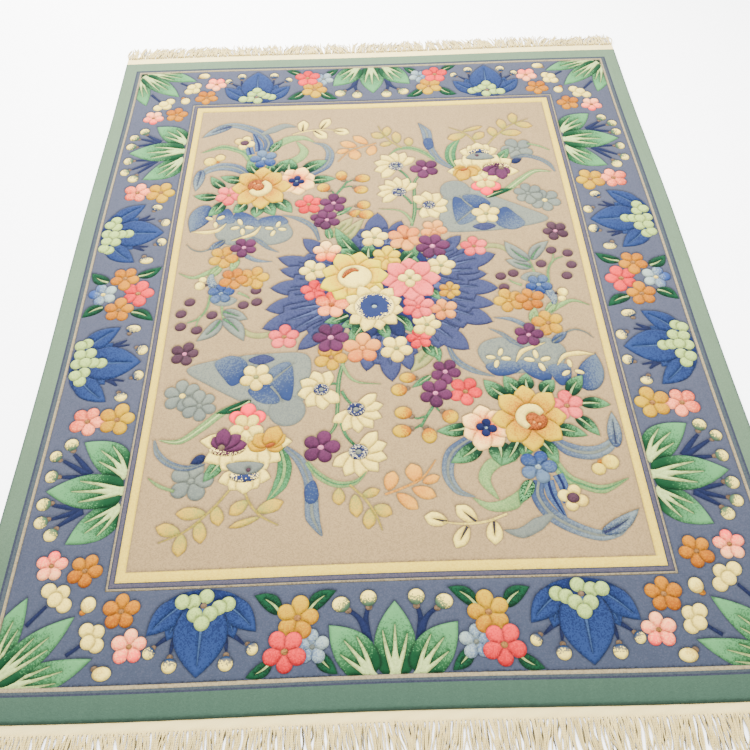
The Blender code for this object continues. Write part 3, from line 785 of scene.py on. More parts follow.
def side_border() -> list[Motif]:
    """The near half of the right side's border, from the corner to its middle."""
    return [
        Stroke(mm((1060, -1262), (1040, -1238), (1012, -1205)), mm(14, 12, 10), Tone.NAVY),
        Lobes(mm((974, -1165), (1016, -1158), (962, -1204), (992, -1186)), 0.0225, Tone.IVORY),
        Flower(0.920, -1.100, 0.053, 113, Tone.AMBER, 275),
        Flower(1.025, -1.082, 0.050, 92, Tone.ROSE, 92),
        Stroke(mm((965, -775), (1000, -735), (1036, -698)), mm(22, 18, 10), Tone.NAVY),
        Stroke(mm((970, -780), (1015, -752), (1066, -722)), mm(22, 18, 10), Tone.NAVY),
        Stroke(mm((975, -786), (1015, -784), (1060, -782)), mm(22, 18, 10), Tone.NAVY),
        Stroke(mm((970, -894), (1015, -890), (1066, -882)), mm(22, 18, 10), Tone.NAVY),
        Stroke(mm((965, -900), (1010, -914), (1060, -930)), mm(22, 18, 10), Tone.NAVY),
        Stroke(mm((965, -906), (1000, -930), (1035, -955)), mm(22, 18, 10), Tone.NAVY),
        Bud(1.052, -0.662, 0.023, 0.023, 245),
        Bud(1.095, -0.705, 0.020, 0.021, 220),
        Bud(1.092, -0.780, 0.021, 0.022, 182),
        Bud(1.095, -0.878, 0.023, 0.022, 172),
        Bud(1.090, -0.940, 0.022, 0.021, 152),
        Bud(1.050, -0.982, 0.022, 0.022, 122),
        Leaf(0.846, -0.792, 1.010, -0.654, 0.112, bend=0.08, **FAN),
        Leaf(0.846, -0.888, 0.998, -1.014, 0.108, bend=-0.04, **FAN),
        Leaf(0.844, -0.838, 1.098, -0.833, 0.124, **FAN),
        Flower(1.018, -0.572, 0.060, 40, Tone.SALMON, 20),
        Flower(0.917, -0.568, 0.064, 102, Tone.GOLD, 0, base=0.3),
        Stroke(mm((1005, -262), (970, -244), (938, -226)), mm(24, 18, 6), Tone.NAVY),
        Stroke(mm((1000, -258), (965, -252), (925, -248)), mm(18, 12, 6), Tone.NAVY),
        Stroke(mm((1000, -390), (970, -405), (942, -428)), mm(24, 20, 6), Tone.NAVY),
        Stroke(mm((1000, -392), (960, -400), (920, -408)), mm(18, 12, 6), Tone.NAVY),
        Bud(0.922, -0.173, 0.027, 0.018, 298, Tone.IVORY_BLUE),
        Bud(0.876, -0.272, 0.021, 0.022, 30, Tone.IVORY_BLUE),
        Bud(0.874, -0.385, 0.020, 0.021, 335, Tone.IVORY_BLUE),
        Bud(0.920, -0.475, 0.022, 0.018, 62, Tone.IVORY_BLUE),
        Disc(1.064, -0.328, 0.064, 0.128, Tone.DELFT, base=1.3, radial=-7.0, rise=0.0012, grain=0.5),
        Leaf(1.060, -0.280, 0.986, -0.236, 0.054, bend=0.10, **TULIP),
        Leaf(1.060, -0.376, 0.986, -0.420, 0.054, bend=-0.10, **TULIP),
        Leaf(1.092, -0.276, 0.970, -0.164, 0.084, bend=-0.05, **TULIP),
        Leaf(1.092, -0.380, 0.970, -0.494, 0.084, bend=0.05, **TULIP),
        Leaf(1.096, -0.328, 0.872, -0.326, 0.146, broad=0.9, **TULIP),
        Lobes(mm((1082, -236), (1104, -246), (1062, -280), (1099, -286), (1016, -326), (1044, -324),
                 (1104, -328), (1074, -322), (1070, -366), (1078, -404), (1100, -378)), 0.0225,
              Tone.CELERY),
        Leaf(0.945, -0.090, 0.855, -0.137, 0.046, Tone.BOTTLE, bend=-0.10),
        Leaf(1.052, -0.062, 1.126, -0.113, 0.050, Tone.BOTTLE, bend=0.10),
        Flower(0.992, -0.080, 0.060, 94, Tone.AMBER, 330, base=0.35),
    ]


def side_middle() -> list[Motif]:
    """What stands on the right side's middle line."""
    return [
        Flower(1.064, 0.000, 0.055, 0, Tone.MIST, 0, Tone.IVORY, contrast=1.4),
        Flower(0.930, 0.000, 0.064, 180, Tone.PINK, 0, base=0.35),
    ]


def end_middle() -> list[Motif]:
    """What stands on the near end's middle line."""
    return [Leaf(0.000, -1.440, 0.006, -1.226, 0.118, **FAN)]


def right_field() -> list[Motif]:
    """The field's right half from the bouquet to the berries, the lowest motifs first."""
    leafy: list[Motif] = [
        Area(mm((345, -345), (365, -290), (440, -268), (500, -298), (600, -275), (660, -330), (640, -400),
                (600, -440), (500, -430), (400, -425)), Tone.SILVER),
        Area(mm((364, -394), (420, -374), (500, -388), (470, -428), (400, -438)), Tone.COBALT,
             (0.0, -16.0), 0.6, carve=0.15, grain=0.45),
        Area(mm((480, -374), (548, -388), (592, -430), (580, -468), (530, -452), (492, -412)), Tone.COBALT,
             (0.0, -12.0), 0.7, grain=0.45),
        Area(mm((588, -402), (660, -398), (658, -460), (622, -488), (596, -452)), Tone.COBALT,
             (0.0, -12.0), 0.7, carve=0.15, grain=0.45),
        Leaf(0.705, -0.512, 0.764, -0.352, 0.094, Tone.COBALT, Tone.SILVER, Veining.NONE, deepen=0.7,
             side=0.9, base=0.5, grain=0.45),
        Stroke(mm((476, -380), (502, -336), (545, -316), (592, -298)), mm(2, 19, 13, 2), Tone.CREAM,
               rise=0.0018, carve=0.9),
        Stroke(mm((620, -400), (652, -360), (704, -350), (760, -357)), mm(2, 18, 20, 2), Tone.CREAM,
               rise=0.0018, carve=0.9),
        Star(0.415, -0.360, 0.044, (68, 172, -8, 250)),
        Star(0.553, -0.378, 0.048, (96, 168, 14, 292)),
        Star(0.668, -0.420, 0.044, (98, -24, 212)),
        Stroke(mm((236, -285), (262, -362), (320, -412), (392, -440)), mm(10, 26, 24, 2), Tone.RIVER, -0.5,
               line=Tone.SILVER),
        Stroke(mm((420, -176), (478, -184), (520, -208), (548, -238)), mm(2, 18, 22, 4), Tone.RIVER, 0.5),
        Stroke(mm((396, -226), (440, -252), (475, -288), (512, -318)), mm(2, 16, 22, 4), Tone.RIVER, 0.5,
               line=Tone.SILVER),
        Stroke(mm((370, 162), (430, 192), (490, 184), (535, 128)), mm(4, 26, 24, 4), Tone.OLIVE),
        Stroke(mm((632, -162), (680, -122), (730, -104), (785, -130)), mm(10, 22, 14, 2), Tone.MINT),
        Stroke(mm((655, -265), (705, -243), (745, -256), (770, -284)), mm(10, 8, 6, 2), Tone.SILVER),
        Leaf(0.618, -0.300, 0.682, -0.250, 0.034, Tone.RIVER, Tone.SILVER, base=0.8),
        Leaf(0.560, -0.205, 0.580, -0.130, 0.036, Tone.MINT, deepen=0.5),
        Leaf(0.618, -0.160, 0.672, -0.092, 0.034, Tone.MINT, deepen=0.5),
        Stroke(mm((648, -40), (656, 50), (684, 102), (724, 122)), mm(12, 11, 10, 6), Tone.MINT, 0.3,
               line=Tone.FERN),
        Stroke(mm((678, 90), (686, 120), (690, 140)), mm(8, 7, 5), Tone.MINT),
        Stroke(mm((604, 30), (596, 80), (586, 130)), mm(10, 10, 6), Tone.MINT, 0.3),
        Stroke(mm((545, -20), (515, -4), (498, 12)), mm(12, 9, 4), Tone.MINT, 0.3),
        Leaf(0.595, 0.070, 0.498, 0.114, 0.052, Tone.GHOST, Tone.FERN, deepen=1.0),
        Leaf(0.592, 0.105, 0.506, 0.216, 0.060, Tone.GHOST, Tone.FERN, bend=0.08, deepen=1.0),
        Leaf(0.598, 0.110, 0.682, 0.210, 0.052, Tone.GHOST, Tone.FERN, bend=0.08, deepen=1.0),
        Area(mm((545, 15), (575, 45), (625, 40), (648, 8), (600, -10)), Tone.GHOST),
        Stroke(mm((600, -20), (632, -40), (655, -85), (652, -120)), mm(30, 40, 34, 12), Tone.RIVER, -0.6,
               grain=0.9),
        Bud(0.695, -0.060, 0.020, 0.021, 190, Tone.IVORY, Tone.SOOT),
        Disc(0.687, -0.092, 0.015, 0.014, Tone.IVORY),
        Flower(0.610, -0.018, 0.052, 200, Tone.AZURE, 250, Tone.MIST, base=0.7),
    ]
    berries = mm((685, 158), (747, 140), (635, 88), (752, 78), (725, 22), (520, 43), (470, 30), (476, -28))
    leafy += each(Disc, berries, radius_x=0.0215, radius_y=0.0195, tone=Tone.PLUM, turn=20.0, carve=1.0)
    return leafy + [
        Flower(0.718, 0.265, 0.053, 110, Tone.PLUM, 330, Tone.LILAC),
        Flower(0.488, -0.095, 0.060, 110, Tone.GOLD, 340, Tone.GOLD),
        Flower(0.568, -0.092, 0.056, 100, Tone.AMBER, 290),
        Flower(0.618, -0.208, 0.060, 100, Tone.GOLD, 200),
        Flower(0.538, -0.260, 0.055, 80, Tone.PURPLE, 20, Tone.LILAC),
    ]


def right_bouquet() -> list[Motif]:
    """The lower right bouquet with its ribbons, stray buds and sprigs."""
    ribbons: list[Motif] = [
        Stroke(mm((280, -690), (215, -742), (196, -818), (222, -878), (276, -902)), mm(34, 44, 38, 26, 2),
               Tone.RIVER, -0.8, line=Tone.SILVER),
        Stroke(mm((545, -690), (600, -738), (668, -755), (728, -735), (768, -690)), mm(24, 50, 50, 40, 20),
               Tone.RIVER, -0.9, line=Tone.SILVER),
        Leaf(0.758, -0.738, 0.770, -0.600, 0.048, Tone.RIVER, Tone.SLATE, Veining.LINES, deepen=1.0),
        Stroke(mm((540, -770), (572, -838), (620, -868), (685, -886), (772, -850)), mm(30, 36, 30, 30, 2),
               Tone.MINT, line=Tone.FERN),
        Stroke(mm((420, -762), (345, -786), (312, -842), (348, -912)), mm(30, 44, 40, 4), Tone.MINT, -0.3),
        Stroke(mm((268, -905), (320, -936), (392, -924), (452, -862)), mm(2, 30, 48, 20), Tone.MINT, 0.3),
        Stroke(mm((548, -830), (560, -880), (550, -932)), mm(36, 32, 6), Tone.AZURE, line=Tone.INK),
        Stroke(mm((514, -850), (520, -905), (550, -985)), mm(36, 38, 6), Tone.AZURE, line=Tone.INK),
        Stroke(mm((484, -850), (474, -906), (506, -968), (566, -1012), (640, -1040), (700, -1030),
                  (742, -998)), mm(34, 44, 46, 42, 36, 30, 12), Tone.RIVER, -1.0, line=Tone.SILVER),
        Leaf(0.650, -1.034, 0.780, -0.956, 0.046, Tone.RIVER, Tone.SLATE, bend=-0.06, deepen=0.9),
        Stroke(mm((512, -966), (460, -998), (405, -1026), (352, -1016)), mm(10, 44, 36, 2), Tone.SILVER),
        Leaf(0.462, -0.846, 0.414, -0.928, 0.044, Tone.SPRUCE, grain=0.95),
    ]
    leaves = mm((430, -535, 351, -452, 62), (480, -520, 424, -438, 62), (500, -500, 504, -430, 56),
                (548, -520, 598, -462, 56), (640, -528, 700, -446, 56), (672, -562, 774, -572, 48),
                (646, -612, 713, -692, 46), (560, -658, 672, -690, 52), (290, -642, 170, -656, 52),
                (318, -706, 208, -778, 62), (372, -700, 372, -794, 80), (440, -700, 372, -794, 50),
                (462, -710, 450, -765, 50), (510, -700, 558, -790, 54))
    ribbons += each(Leaf, leaves, base=0.65, **GREEN)
    blooms: list[Motif] = [
        Flower(0.490, -0.800, 0.062, 70, Tone.AZURE, 90, Tone.MIST, contrast=1.2),
        Flower(0.624, -0.570, 0.061, 95, Tone.BLUSH, 100, base=0.3),
        Bloom(0.339, -0.649, 0.090, 7, 98, Tone.SUNSET, 1.5, base=1.25),
        Flower(0.339, -0.648, 0.036, 80, Tone.INK, 90, Tone.MIST, 4),
        Bloom(0.490, -0.613, 0.128, 8, 90, Tone.GLOW, 1.5, base=1.3),
        Disc(0.505, -0.626, 0.044, 0.038, Tone.RUST, rise=0.0018, grain=0.8),
        Stroke(mm((482, -652), (462, -628), (462, -600), (484, -578), (514, -578), (534, -600)),
               mm(20, 32, 36, 36, 34, 22), Tone.IVORY, rise=0.0036, carve=0.9),
        Disc(0.502, -0.632, 0.006, 0.006, Tone.PEACH),
        Disc(0.520, -0.640, 0.006, 0.006, Tone.PEACH),
        Bud(0.726, -0.790, 0.028, 0.027, 180, Tone.STRAW, Tone.AMBER),
        Disc(0.684, -0.814, 0.023, 0.022, Tone.STRAW, carve=1.0),
        Flower(0.583, -0.913, 0.048, 72, Tone.CREAM, 0, Tone.PLUM, petals=4, heart_size=0.42),
    ]
    return ribbons + blooms + stray_buds() + right_sprigs()


def stray_buds() -> list[Motif]:
    """The purple and pink flowers beside the bouquet, with golden buds on green stems."""
    return [
        Leaf(0.188, -0.300, 0.098, -0.412, 0.060, Tone.OLIVE, Tone.MINT),
        Leaf(0.192, -0.292, 0.204, -0.372, 0.034, Tone.FERN),
        Leaf(0.170, -0.428, 0.098, -0.478, 0.026, Tone.FERN),
        Stroke(mm((175, -545), (140, -600), (120, -640)), mm(11, 11, 8), Tone.FERN),
        Stroke(mm((140, -595), (112, -604), (98, -600)), mm(8, 8, 5), Tone.FERN),
        Stroke(mm((130, -622), (108, -638), (94, -646)), mm(8, 8, 5), Tone.FERN),
        Stroke(mm((172, -548), (182, -570), (192, -582)), mm(8, 8, 5), Tone.FERN),
        Bud(0.085, -0.435, 0.029, 0.022, 355, Tone.GOLD),
        Bud(0.053, -0.486, 0.028, 0.025, 12, Tone.GOLD),
        Bud(0.063, -0.580, 0.030, 0.025, 330, Tone.GOLD),
        Bud(0.055, -0.652, 0.032, 0.025, 14, Tone.GOLD),
        Bud(0.146, -0.673, 0.025, 0.030, 108, Tone.GOLD),
        Bud(0.222, -0.600, 0.028, 0.027, 140, Tone.GOLD),
        Flower(0.283, -0.500, 0.060, 60, Tone.PINK, 60, base=0.5),
        Flower(0.220, -0.413, 0.056, 60, Tone.PURPLE, 90, Tone.LILAC),
        Flower(0.179, -0.503, 0.059, 130, Tone.PURPLE, 250, Tone.LILAC),
    ]


def sprig(stem: tuple[Pair, ...], leaves: tuple[tuple[float, float, float, float, float], ...], tone: Tone,
          vein: Optional[Tone] = None) -> list[Motif]:
    """Return a flat sprig: a fine stem with drop-shaped leaves, in the field's quiet colours."""
    veining = Veining.SINGLE if vein else Veining.NONE
    made = each(Leaf, leaves, tone=tone, vein=vein or tone, veining=veining, rise=0.0008, grain=0.3,
                blunt=0.9, broad=1.2)
    return made + [Stroke(stem, mm(7, 8, 7, 3), tone, carve=0.7)]


def right_sprigs() -> list[Motif]:
    """The peach sprig and the ivory sprig below the bouquet."""
    peach = sprig(
        mm((-10, -884), (50, -862), (112, -830), (160, -766)),
        mm((96, -846, 78, -776, 54), (112, -846, 168, -826, 32), (78, -866, 152, -896, 44),
           (28, -882, 92, -938, 42), (0, -870, 22, -802, 46)),
        Tone.APRICOT)
    ivory = sprig(
        mm((368, -962), (300, -986), (230, -992), (168, -984)),
        mm((272, -988, 212, -930, 50), (182, -984, 110, -964, 48), (242, -998, 200, -1070, 46),
           (324, -982, 320, -1062, 50)),
        Tone.IVORY, Tone.SOOT)
    return peach + ivory


def left_field() -> list[Motif]:
    """The lower left of the field: the cream flower on its blue leaves, and the ghost flowers."""
    made: list[Motif] = [
        Area(mm((-702, -368), (-560, -322), (-400, -308), (-270, -322), (-262, -440), (-300, -560),
                (-360, -590), (-450, -540), (-600, -450)), Tone.SILVER, base=0.2),
        Disc(-0.335, -0.556, 0.064, 0.062, Tone.SILVER, base=0.5, radial=0.0, rise=0.0004, carve=0.5),
        Area(mm((-604, -345), (-548, -312), (-492, -340), (-482, -400), (-530, -446), (-566, -412)),
             Tone.COBALT, (4.0, -6.0), 0.7, grain=0.45),
        Area(mm((-402, -378), (-334, -350), (-316, -430), (-326, -514), (-372, -490), (-400, -440)),
             Tone.COBALT, (4.0, -5.0), 0.7, grain=0.45),
        Area(mm((-474, -462), (-400, -446), (-362, -516), (-410, -526), (-452, -504)), Tone.COBALT,
             (0.0, 6.0), 0.75, grain=0.45),
        Area(mm((-484, -336), (-432, -312), (-388, -336), (-440, -358)), Tone.SLATE, base=0.6),
        Stroke(mm((-398, -434), (-358, -394), (-318, -356)), mm(9, 7, 2), Tone.SILVER),
        Stroke(mm((-396, -452), (-370, -486), (-350, -522)), mm(9, 7, 2), Tone.SILVER),
        Flower(-0.451, -0.410, 0.061, 55, Tone.CREAM, 270, Tone.OLIVE),
        Flower(-0.704, -0.479, 0.068, 100, Tone.GHOST, 270, Tone.IVORY, 6, rise=0.0010),
        Flower(-0.640, -0.523, 0.064, 40, Tone.GHOST, 250, Tone.GHOST, 6, rise=0.0010),
        Flower(-0.635, -0.812, 0.074, 80, Tone.GHOST, 250, Tone.GHOST, rise=0.0010),
        Stroke(mm((-140, -352), (-158, -440), (-162, -550), (-168, -620), (-196, -664)),
               mm(12, 16, 14, 12, 8), Tone.FERN, line=Tone.MINT),
        Stroke(mm((-146, -365), (-122, -420), (-85, -448), (-10, -458)), mm(12, 12, 8, 2), Tone.MINT),
        Stroke(mm((-148, -482), (-128, -520), (-100, -552)), mm(12, 11, 8), Tone.FERN),
        Stroke(mm((-150, -612), (-132, -664), (-96, -710)), mm(12, 11, 10), Tone.FERN, 0.9),
        Stroke(mm((-160, -452), (-182, -450), (-204, -462)), mm(10, 10, 6), Tone.FERN),
    ]
    made += spray(-0.219, -0.473, 0.084, 193, 250, 7)
    made += spray(-0.098, -0.560, 0.094, 306, 190, 7)
    made += spray(-0.092, -0.726, 0.098, 310, 200, 7)
    return made + [Flower(-0.217, -0.704, 0.063, 75, Tone.PURPLE, 210, Tone.LILAC)]


def left_bouquet() -> list[Motif]:
    """The lower left bouquet with its ribbons and honey-coloured sprigs."""
    made: list[Motif] = [
        Stroke(mm((-500, -520), (-560, -555), (-620, -610), (-690, -662), (-760, -655)),
               mm(10, 30, 30, 22, 2), Tone.MINT, line=Tone.VEIN),
        Leaf(-0.462, -0.508, -0.580, -0.556, 0.036, Tone.BOTTLE, bend=0.06),
        Stroke(mm((-776, -655), (-758, -705), (-715, -745), (-655, -764), (-596, -750)),
               mm(6, 22, 24, 22, 4), Tone.RIVER, 0.6, line=Tone.SILVER),
        Leaf(-0.596, -0.722, -0.646, -0.748, 0.034, Tone.NAVY, veining=Veining.NONE),
        Stroke(mm((-776, -796), (-735, -826), (-685, -846)), mm(4, 12, 10), Tone.MINT),
        Leaf(-0.538, -0.735, -0.596, -0.816, 0.048, Tone.SPRUCE),
        Stroke(mm((-352, -700), (-334, -770), (-346, -836), (-384, -892)), mm(30, 48, 46, 6), Tone.FERN,
               -0.5, line=Tone.MINT),
        Stroke(mm((-335, -700), (-285, -752), (-256, -822), (-244, -892), (-238, -955), (-208, -1018)),
               mm(16, 34, 32, 44, 46, 4), Tone.RIVER, line=Tone.SILVER),
        Area(mm((-266, -850), (-236, -826), (-220, -880), (-238, -908), (-262, -898)), Tone.COBALT,
             (0.0, 0.0), 0.9, grain=0.4),
        Stroke(mm((-262, -758), (-222, -808), (-165, -842), (-105, -838), (-66, -800)),
               mm(14, 24, 24, 18, 2), Tone.MINT, line=Tone.FERN),
    ]
    made += sprig(mm((-505, -845), (-556, -912), (-630, -982), (-712, -1020)),
                  mm((-575, -926, -670, -924, 44), (-648, -990, -726, -968, 44),
                     (-642, -992, -646, -1066, 44), (-596, -950, -580, -1026, 42),
                     (-550, -900, -530, -970, 42)), Tone.HONEY)
    made += sprig(mm((-462, -845), (-440, -896), (-402, -942), (-345, -976)),
                  mm((-446, -888, -500, -934, 44), (-416, -926, -332, -896, 46),
                     (-404, -946, -498, -978, 24)), Tone.HONEY)
    made += sprig(mm((-122, -846), (-72, -900), (-40, -955), (-22, -1006)),
                  mm((-158, -856, -156, -916, 40), (-106, -880, -100, -960, 42),
                     (-84, -886, -26, -868, 32), (-56, -930, -66, -1000, 40), (-46, -924, 10, -952, 44)),
                  Tone.HONEY)
    made += [
        Flower(-0.470, -0.588, 0.066, 90, Tone.ROSE, 90, Tone.CREAM, contrast=0.5, base=1.0),
        Flower(-0.470, -0.618, 0.060, 270, Tone.CREAM, 90, Tone.PEACH),
    ]
    # The pale flower behind, then the small one with its silver cap, then the two half flowers
    made += fanned(-0.467, -0.675, mm((-622, -664, 62), (-600, -742, 72), (-348, -748, 70),
                                      (-313, -678, 62), (-540, -776, 78), (-392, -778, 78),
                                      (-466, -786, 84)), Tone.CREAM)
    made += fanned(-0.462, -0.790, mm((-546, -816, 52), (-378, -810, 52), (-508, -848, 52),
                                      (-418, -845, 52), (-460, -864, 56)), Tone.CREAM)
    made += [
        Disc(-0.463, -0.798, 0.050, 0.024, Tone.FRINGED_BLUE, base=1.0, radial=-12.0, grain=1.0,
             rise=0.0026, carve=0.1),
        Area(mm((-526, -756), (-463, -746), (-403, -758), (-422, -787), (-460, -794), (-500, -788)),
             Tone.SILVER, base=0.6, rise=0.0032, carve=0.9, grain=0.3),
        Disc(-0.452, -0.778, 0.008, 0.008, Tone.PLUM),
        Disc(-0.528, -0.698, 0.060, 0.026, Tone.FRINGED_PLUM, base=0.9, radial=-10.0, grain=1.0, carve=0.1,
             rise=0.0026),
    ]
    made += fanned(-0.545, -0.692, mm((-462, -680, 46), (-486, -644, 46), (-580, -650, 44),
                                      (-546, -616, 52)), Tone.PURPLE)
    made += [Disc(-0.548, -0.690, 0.012, 0.011, Tone.BARK)]
    made += fanned(-0.396, -0.692, mm((-462, -684, 50), (-342, -702, 40), (-440, -646, 56),
                                      (-336, -650, 48), (-362, -616, 62)), Tone.GOLD)
    return made + [Disc(-0.386, -0.688, 0.018, 0.008, Tone.RUST, turn=20.0)]


def medallion() -> list[Motif]:
    """The flower medallion in the middle of the field."""
    burst = mm((-20, 120, 4, 405, 170), (30, 180, 100, 354, 110), (-60, 160, -125, 290, 110),
               (-140, 100, -303, 268, 120), (-120, 60, -402, 166, 130), (-150, 40, -390, 100, 120),
               (-160, 0, -424, 6, 140), (-160, -50, -436, -102, 150), (-160, -90, -444, -194, 150),
               (-130, -140, -308, -298, 110), (-30, -220, -60, -402, 110), (20, -220, 31, -450, 130),
               (60, -220, 98, -404, 100), (130, -150, 316, -320, 150), (180, -90, 416, -196, 150),
               (190, -60, 432, -110, 120), (200, 0, 456, -30, 140), (200, 50, 420, 44, 120),
               (200, 70, 464, 148, 150), (200, 120, 336, 258, 100))
    made = each(Leaf, burst, tone=Tone.SLATE, vein=Tone.SLATE_VEIN, veining=Veining.BRANCHED, teeth=3,
                deepen=0.6, base=0.45, grain=0.6)
    greens = mm((-70, 150, -172, 326, 60), (-80, 150, -150, 205, 60), (-40, 150, -30, 232, 60),
                (90, 110, 168, 204, 62), (150, 80, 142, 152, 40), (180, -20, 228, -80, 40),
                (-120, -140, -212, -172, 44), (-80, -160, -150, -196, 44), (-60, -170, -128, -270, 60),
                (-10, -180, 24, -262, 52), (50, -150, 118, -236, 48), (150, -290, 186, -348, 40),
                (60, 190, 120, 230, 36))
    made += [
        Area(mm((-150, -100), (-200, 20), (-160, 170), (0, 220), (160, 180), (210, 20), (150, -180),
                (20, -240), (-110, -220)), Tone.INK, rise=-0.0006, carve=0.3),
        Leaf(-0.160, 0.225, -0.052, 0.375, 0.052, Tone.OLIVE, Tone.MINT),
    ]
    made += each(Leaf, greens, base=0.7, **GREEN)
    made += [
        Leaf(-0.030, -0.180, -0.055, -0.262, 0.052, Tone.NAVY, veining=Veining.NONE),
        Leaf(0.045, -0.170, 0.078, -0.262, 0.054, Tone.NAVY, veining=Veining.NONE),
        Flower(-0.359, -0.234, 0.059, 90, Tone.BLUSH, 60),
        Flower(0.382, 0.195, 0.056, 95, Tone.BLUSH, 160),
        Bud(-0.044, 0.396, 0.030, 0.026, 200, Tone.GOLD),
        Flower(-0.206, 0.372, 0.056, 120, Tone.PURPLE, 260, Tone.LILAC),
        Flower(-0.185, -0.335, 0.061, 60, Tone.GOLD, 90),
        Flower(0.229, 0.296, 0.056, 60, Tone.PEACH, 270, Tone.PEACH, base=0.25),
        Flower(0.112, 0.254, 0.072, 100, Tone.PEACH, 90, Tone.RUST, 6),
        Flower(-0.013, 0.261, 0.056, 80, Tone.CREAM, 270, Tone.OLIVE),
        Flower(0.217, 0.203, 0.071, 70, Tone.PURPLE, 250, Tone.LILAC, 6),
        Flower(-0.206, 0.189, 0.059, 90, Tone.SUNSET, 270, Tone.PEACH, contrast=1.6),
        Flower(-0.258, 0.090, 0.056, 110, Tone.CREAM, 300, Tone.OLIVE),
        Flower(-0.251, -0.015, 0.054, 95, Tone.PINK, 60, Tone.PINK),
        Flower(-0.185, -0.088, 0.067, 80, Tone.EMBER, 100, Tone.RUST, contrast=1.6),
        Flower(-0.187, -0.244, 0.070, 60, Tone.PURPLE, 120, Tone.LILAC, 6),
        Flower(-0.071, -0.298, 0.070, 90, Tone.PEACH, 270, Tone.PEACH),
        Flower(0.137, -0.262, 0.048, 100, Tone.PINK, 200, Tone.PINK),
        Flower(0.052, -0.304, 0.061, 60, Tone.CREAM, 270, Tone.OLIVE),
        Flower(0.169, -0.198, 0.056, 70, Tone.CREAM, 270, Tone.OLIVE),
        Flower(0.238, -0.129, 0.054, 100, Tone.PEACH, 200),
        Flower(0.142, -0.111, 0.061, 80, Tone.BLUSH, 200, Tone.PINK, 6),
        Flower(0.268, -0.033, 0.045, 90, Tone.GOLD, 180, petals=6),
        Flower(0.244, 0.096, 0.058, 80, Tone.CREAM, 270, Tone.OLIVE),
        Flower(0.031, 0.147, 0.064, 85, Tone.LEMON, 270, Tone.GOLD, 6),
        Bloom(0.118, 0.033, 0.116, 8, 90, Tone.BLUSH, 0.7, base=0.7),
        Flower(0.118, 0.035, 0.046, 90, Tone.IVORY, 270, Tone.OLIVE, 4),
        Bloom(-0.097, 0.051, 0.138, 9, 80, Tone.LEMON_GLOW, 1.6, fullness=1.6, base=1.3),
        Disc(-0.095, 0.051, 0.068, 0.061, Tone.IVORY, base=0.0, radial=6.0, rise=0.0036),
        Stroke(mm((-142, 46), (-126, 72), (-102, 88), (-80, 80)), mm(10, 22, 22, 8), Tone.RUST, grain=1.0,
               carve=0.2, rise=0.0034),
        Bloom(-0.023, -0.106, 0.118, 11, 86, Tone.CREAM, fullness=1.6, rise=0.0032),
        Disc(-0.023, -0.103, 0.076, 0.066, Tone.FRINGED_BLUE, base=3.9, radial=-55.0, grain=1.0, carve=0.0,
             rise=0.0030),
        Disc(-0.023, -0.103, 0.010, 0.008, Tone.MIST, base=0.1, radial=0.0, rise=0.0032),
    ]
    return made


@dataclass(frozen=True)
class Ground:
    """One plain band of the rug, out to a ring, and how deep that ring is cut."""

    half_x: float
    half_y: float
    tone: Tone
    carve: float
    rise: float = 0.0
    grain: float = 0.4
    base: float = 0.4
    # How much darker the band is painted towards the near end: painted shade.
    painted_near_shade: float = 0.0

    def blend(self, places: np.ndarray) -> np.ndarray:
        """Return the share of the deep shade at each place, growing towards the near end as painted shade.
        """
        nearness = np.clip(-places[:, 1] / HALF_Y, 0.0, 1.0) ** 2
        return np.clip(self.base + self.painted_near_shade * nearness, 0.0, 1.0)


# From the rug's edge inwards
GROUNDS = (
    # The selvedge, the sage band and the denim band are painted darker towards the near end, as painted
    # shade.
    Ground(1.2200, 1.5250, Tone.SELVEDGE, 0.2, grain=0.1, base=0.3, painted_near_shade=0.6),
    Ground(1.2130, 1.5180, Tone.SAGE, 0.1, grain=0.05, base=0.1, painted_near_shade=0.9),
    Ground(1.1580, 1.4560, Tone.SLATE_LINE, 0.7),
    Ground(1.1515, 1.4505, Tone.STEEL, 0.2),
    Ground(1.1390, 1.4430, Tone.PARCHMENT, 0.7),
    Ground(1.1300, 1.4320, Tone.DENIM, 0.8, grain=0.25, base=0.3, painted_near_shade=0.6),
    Ground(0.8480, 1.1670, Tone.PARCHMENT, 0.8),
    Ground(0.8410, 1.1600, Tone.SLATE_LINE, 0.4),
    Ground(0.8375, 1.1565, Tone.HEATHER, 0.2),
    Ground(0.8265, 1.1455, Tone.SLATE_LINE, 0.4),
    Ground(0.8230, 1.1420, Tone.STRAW, 0.7, 0.0008, 0.3),
    Ground(0.7960, 1.1100, Tone.TAUPE, 0.8, 0.0, 0.35),
)
FIELD_RING = 6
BORDER_RING = 5


def ring_at(places: np.ndarray) -> np.ndarray:
    """Return the number of the innermost band that each plan position lies in."""
    ring = np.zeros(len(places), int)
    for number, ground in enumerate(GROUNDS):
        inside = (np.abs(places[:, 0]) < ground.half_x) & (np.abs(places[:, 1]) < ground.half_y)
        ring[inside] = number
    return ring


def waved(places: np.ndarray) -> np.ndarray:
    """Shift plan positions to where the handmade rug has them."""
    x, y = places[:, 0], places[:, 1]
    side = SIDE_WAVE * np.sin(math.pi * 4 * (y + HALF_Y) / (2 * HALF_Y))
    end = END_WAVE * np.sin(math.pi * 3 * (x + HALF_X) / (2 * HALF_X))
    return np.column_stack((x + side * x / HALF_X, y + end * y / HALF_Y))


def is_within(places: np.ndarray, outline: np.ndarray) -> np.ndarray:
    """Say for each place whether it lies inside a closed outline."""
    start_x, start_y = outline.T
    stop_x, stop_y = np.roll(outline, -1, axis=0).T
    x = places[:, 0][:, None]
    y = places[:, 1][:, None]
    spans = (start_y > y) != (stop_y > y)
    rise = np.where(stop_y == start_y, 1.0, stop_y - start_y)
    reach = start_x + (y - start_y) * (stop_x - start_x) / rise
    return (np.count_nonzero(spans & (x < reach), axis=1) % 2).astype(bool)


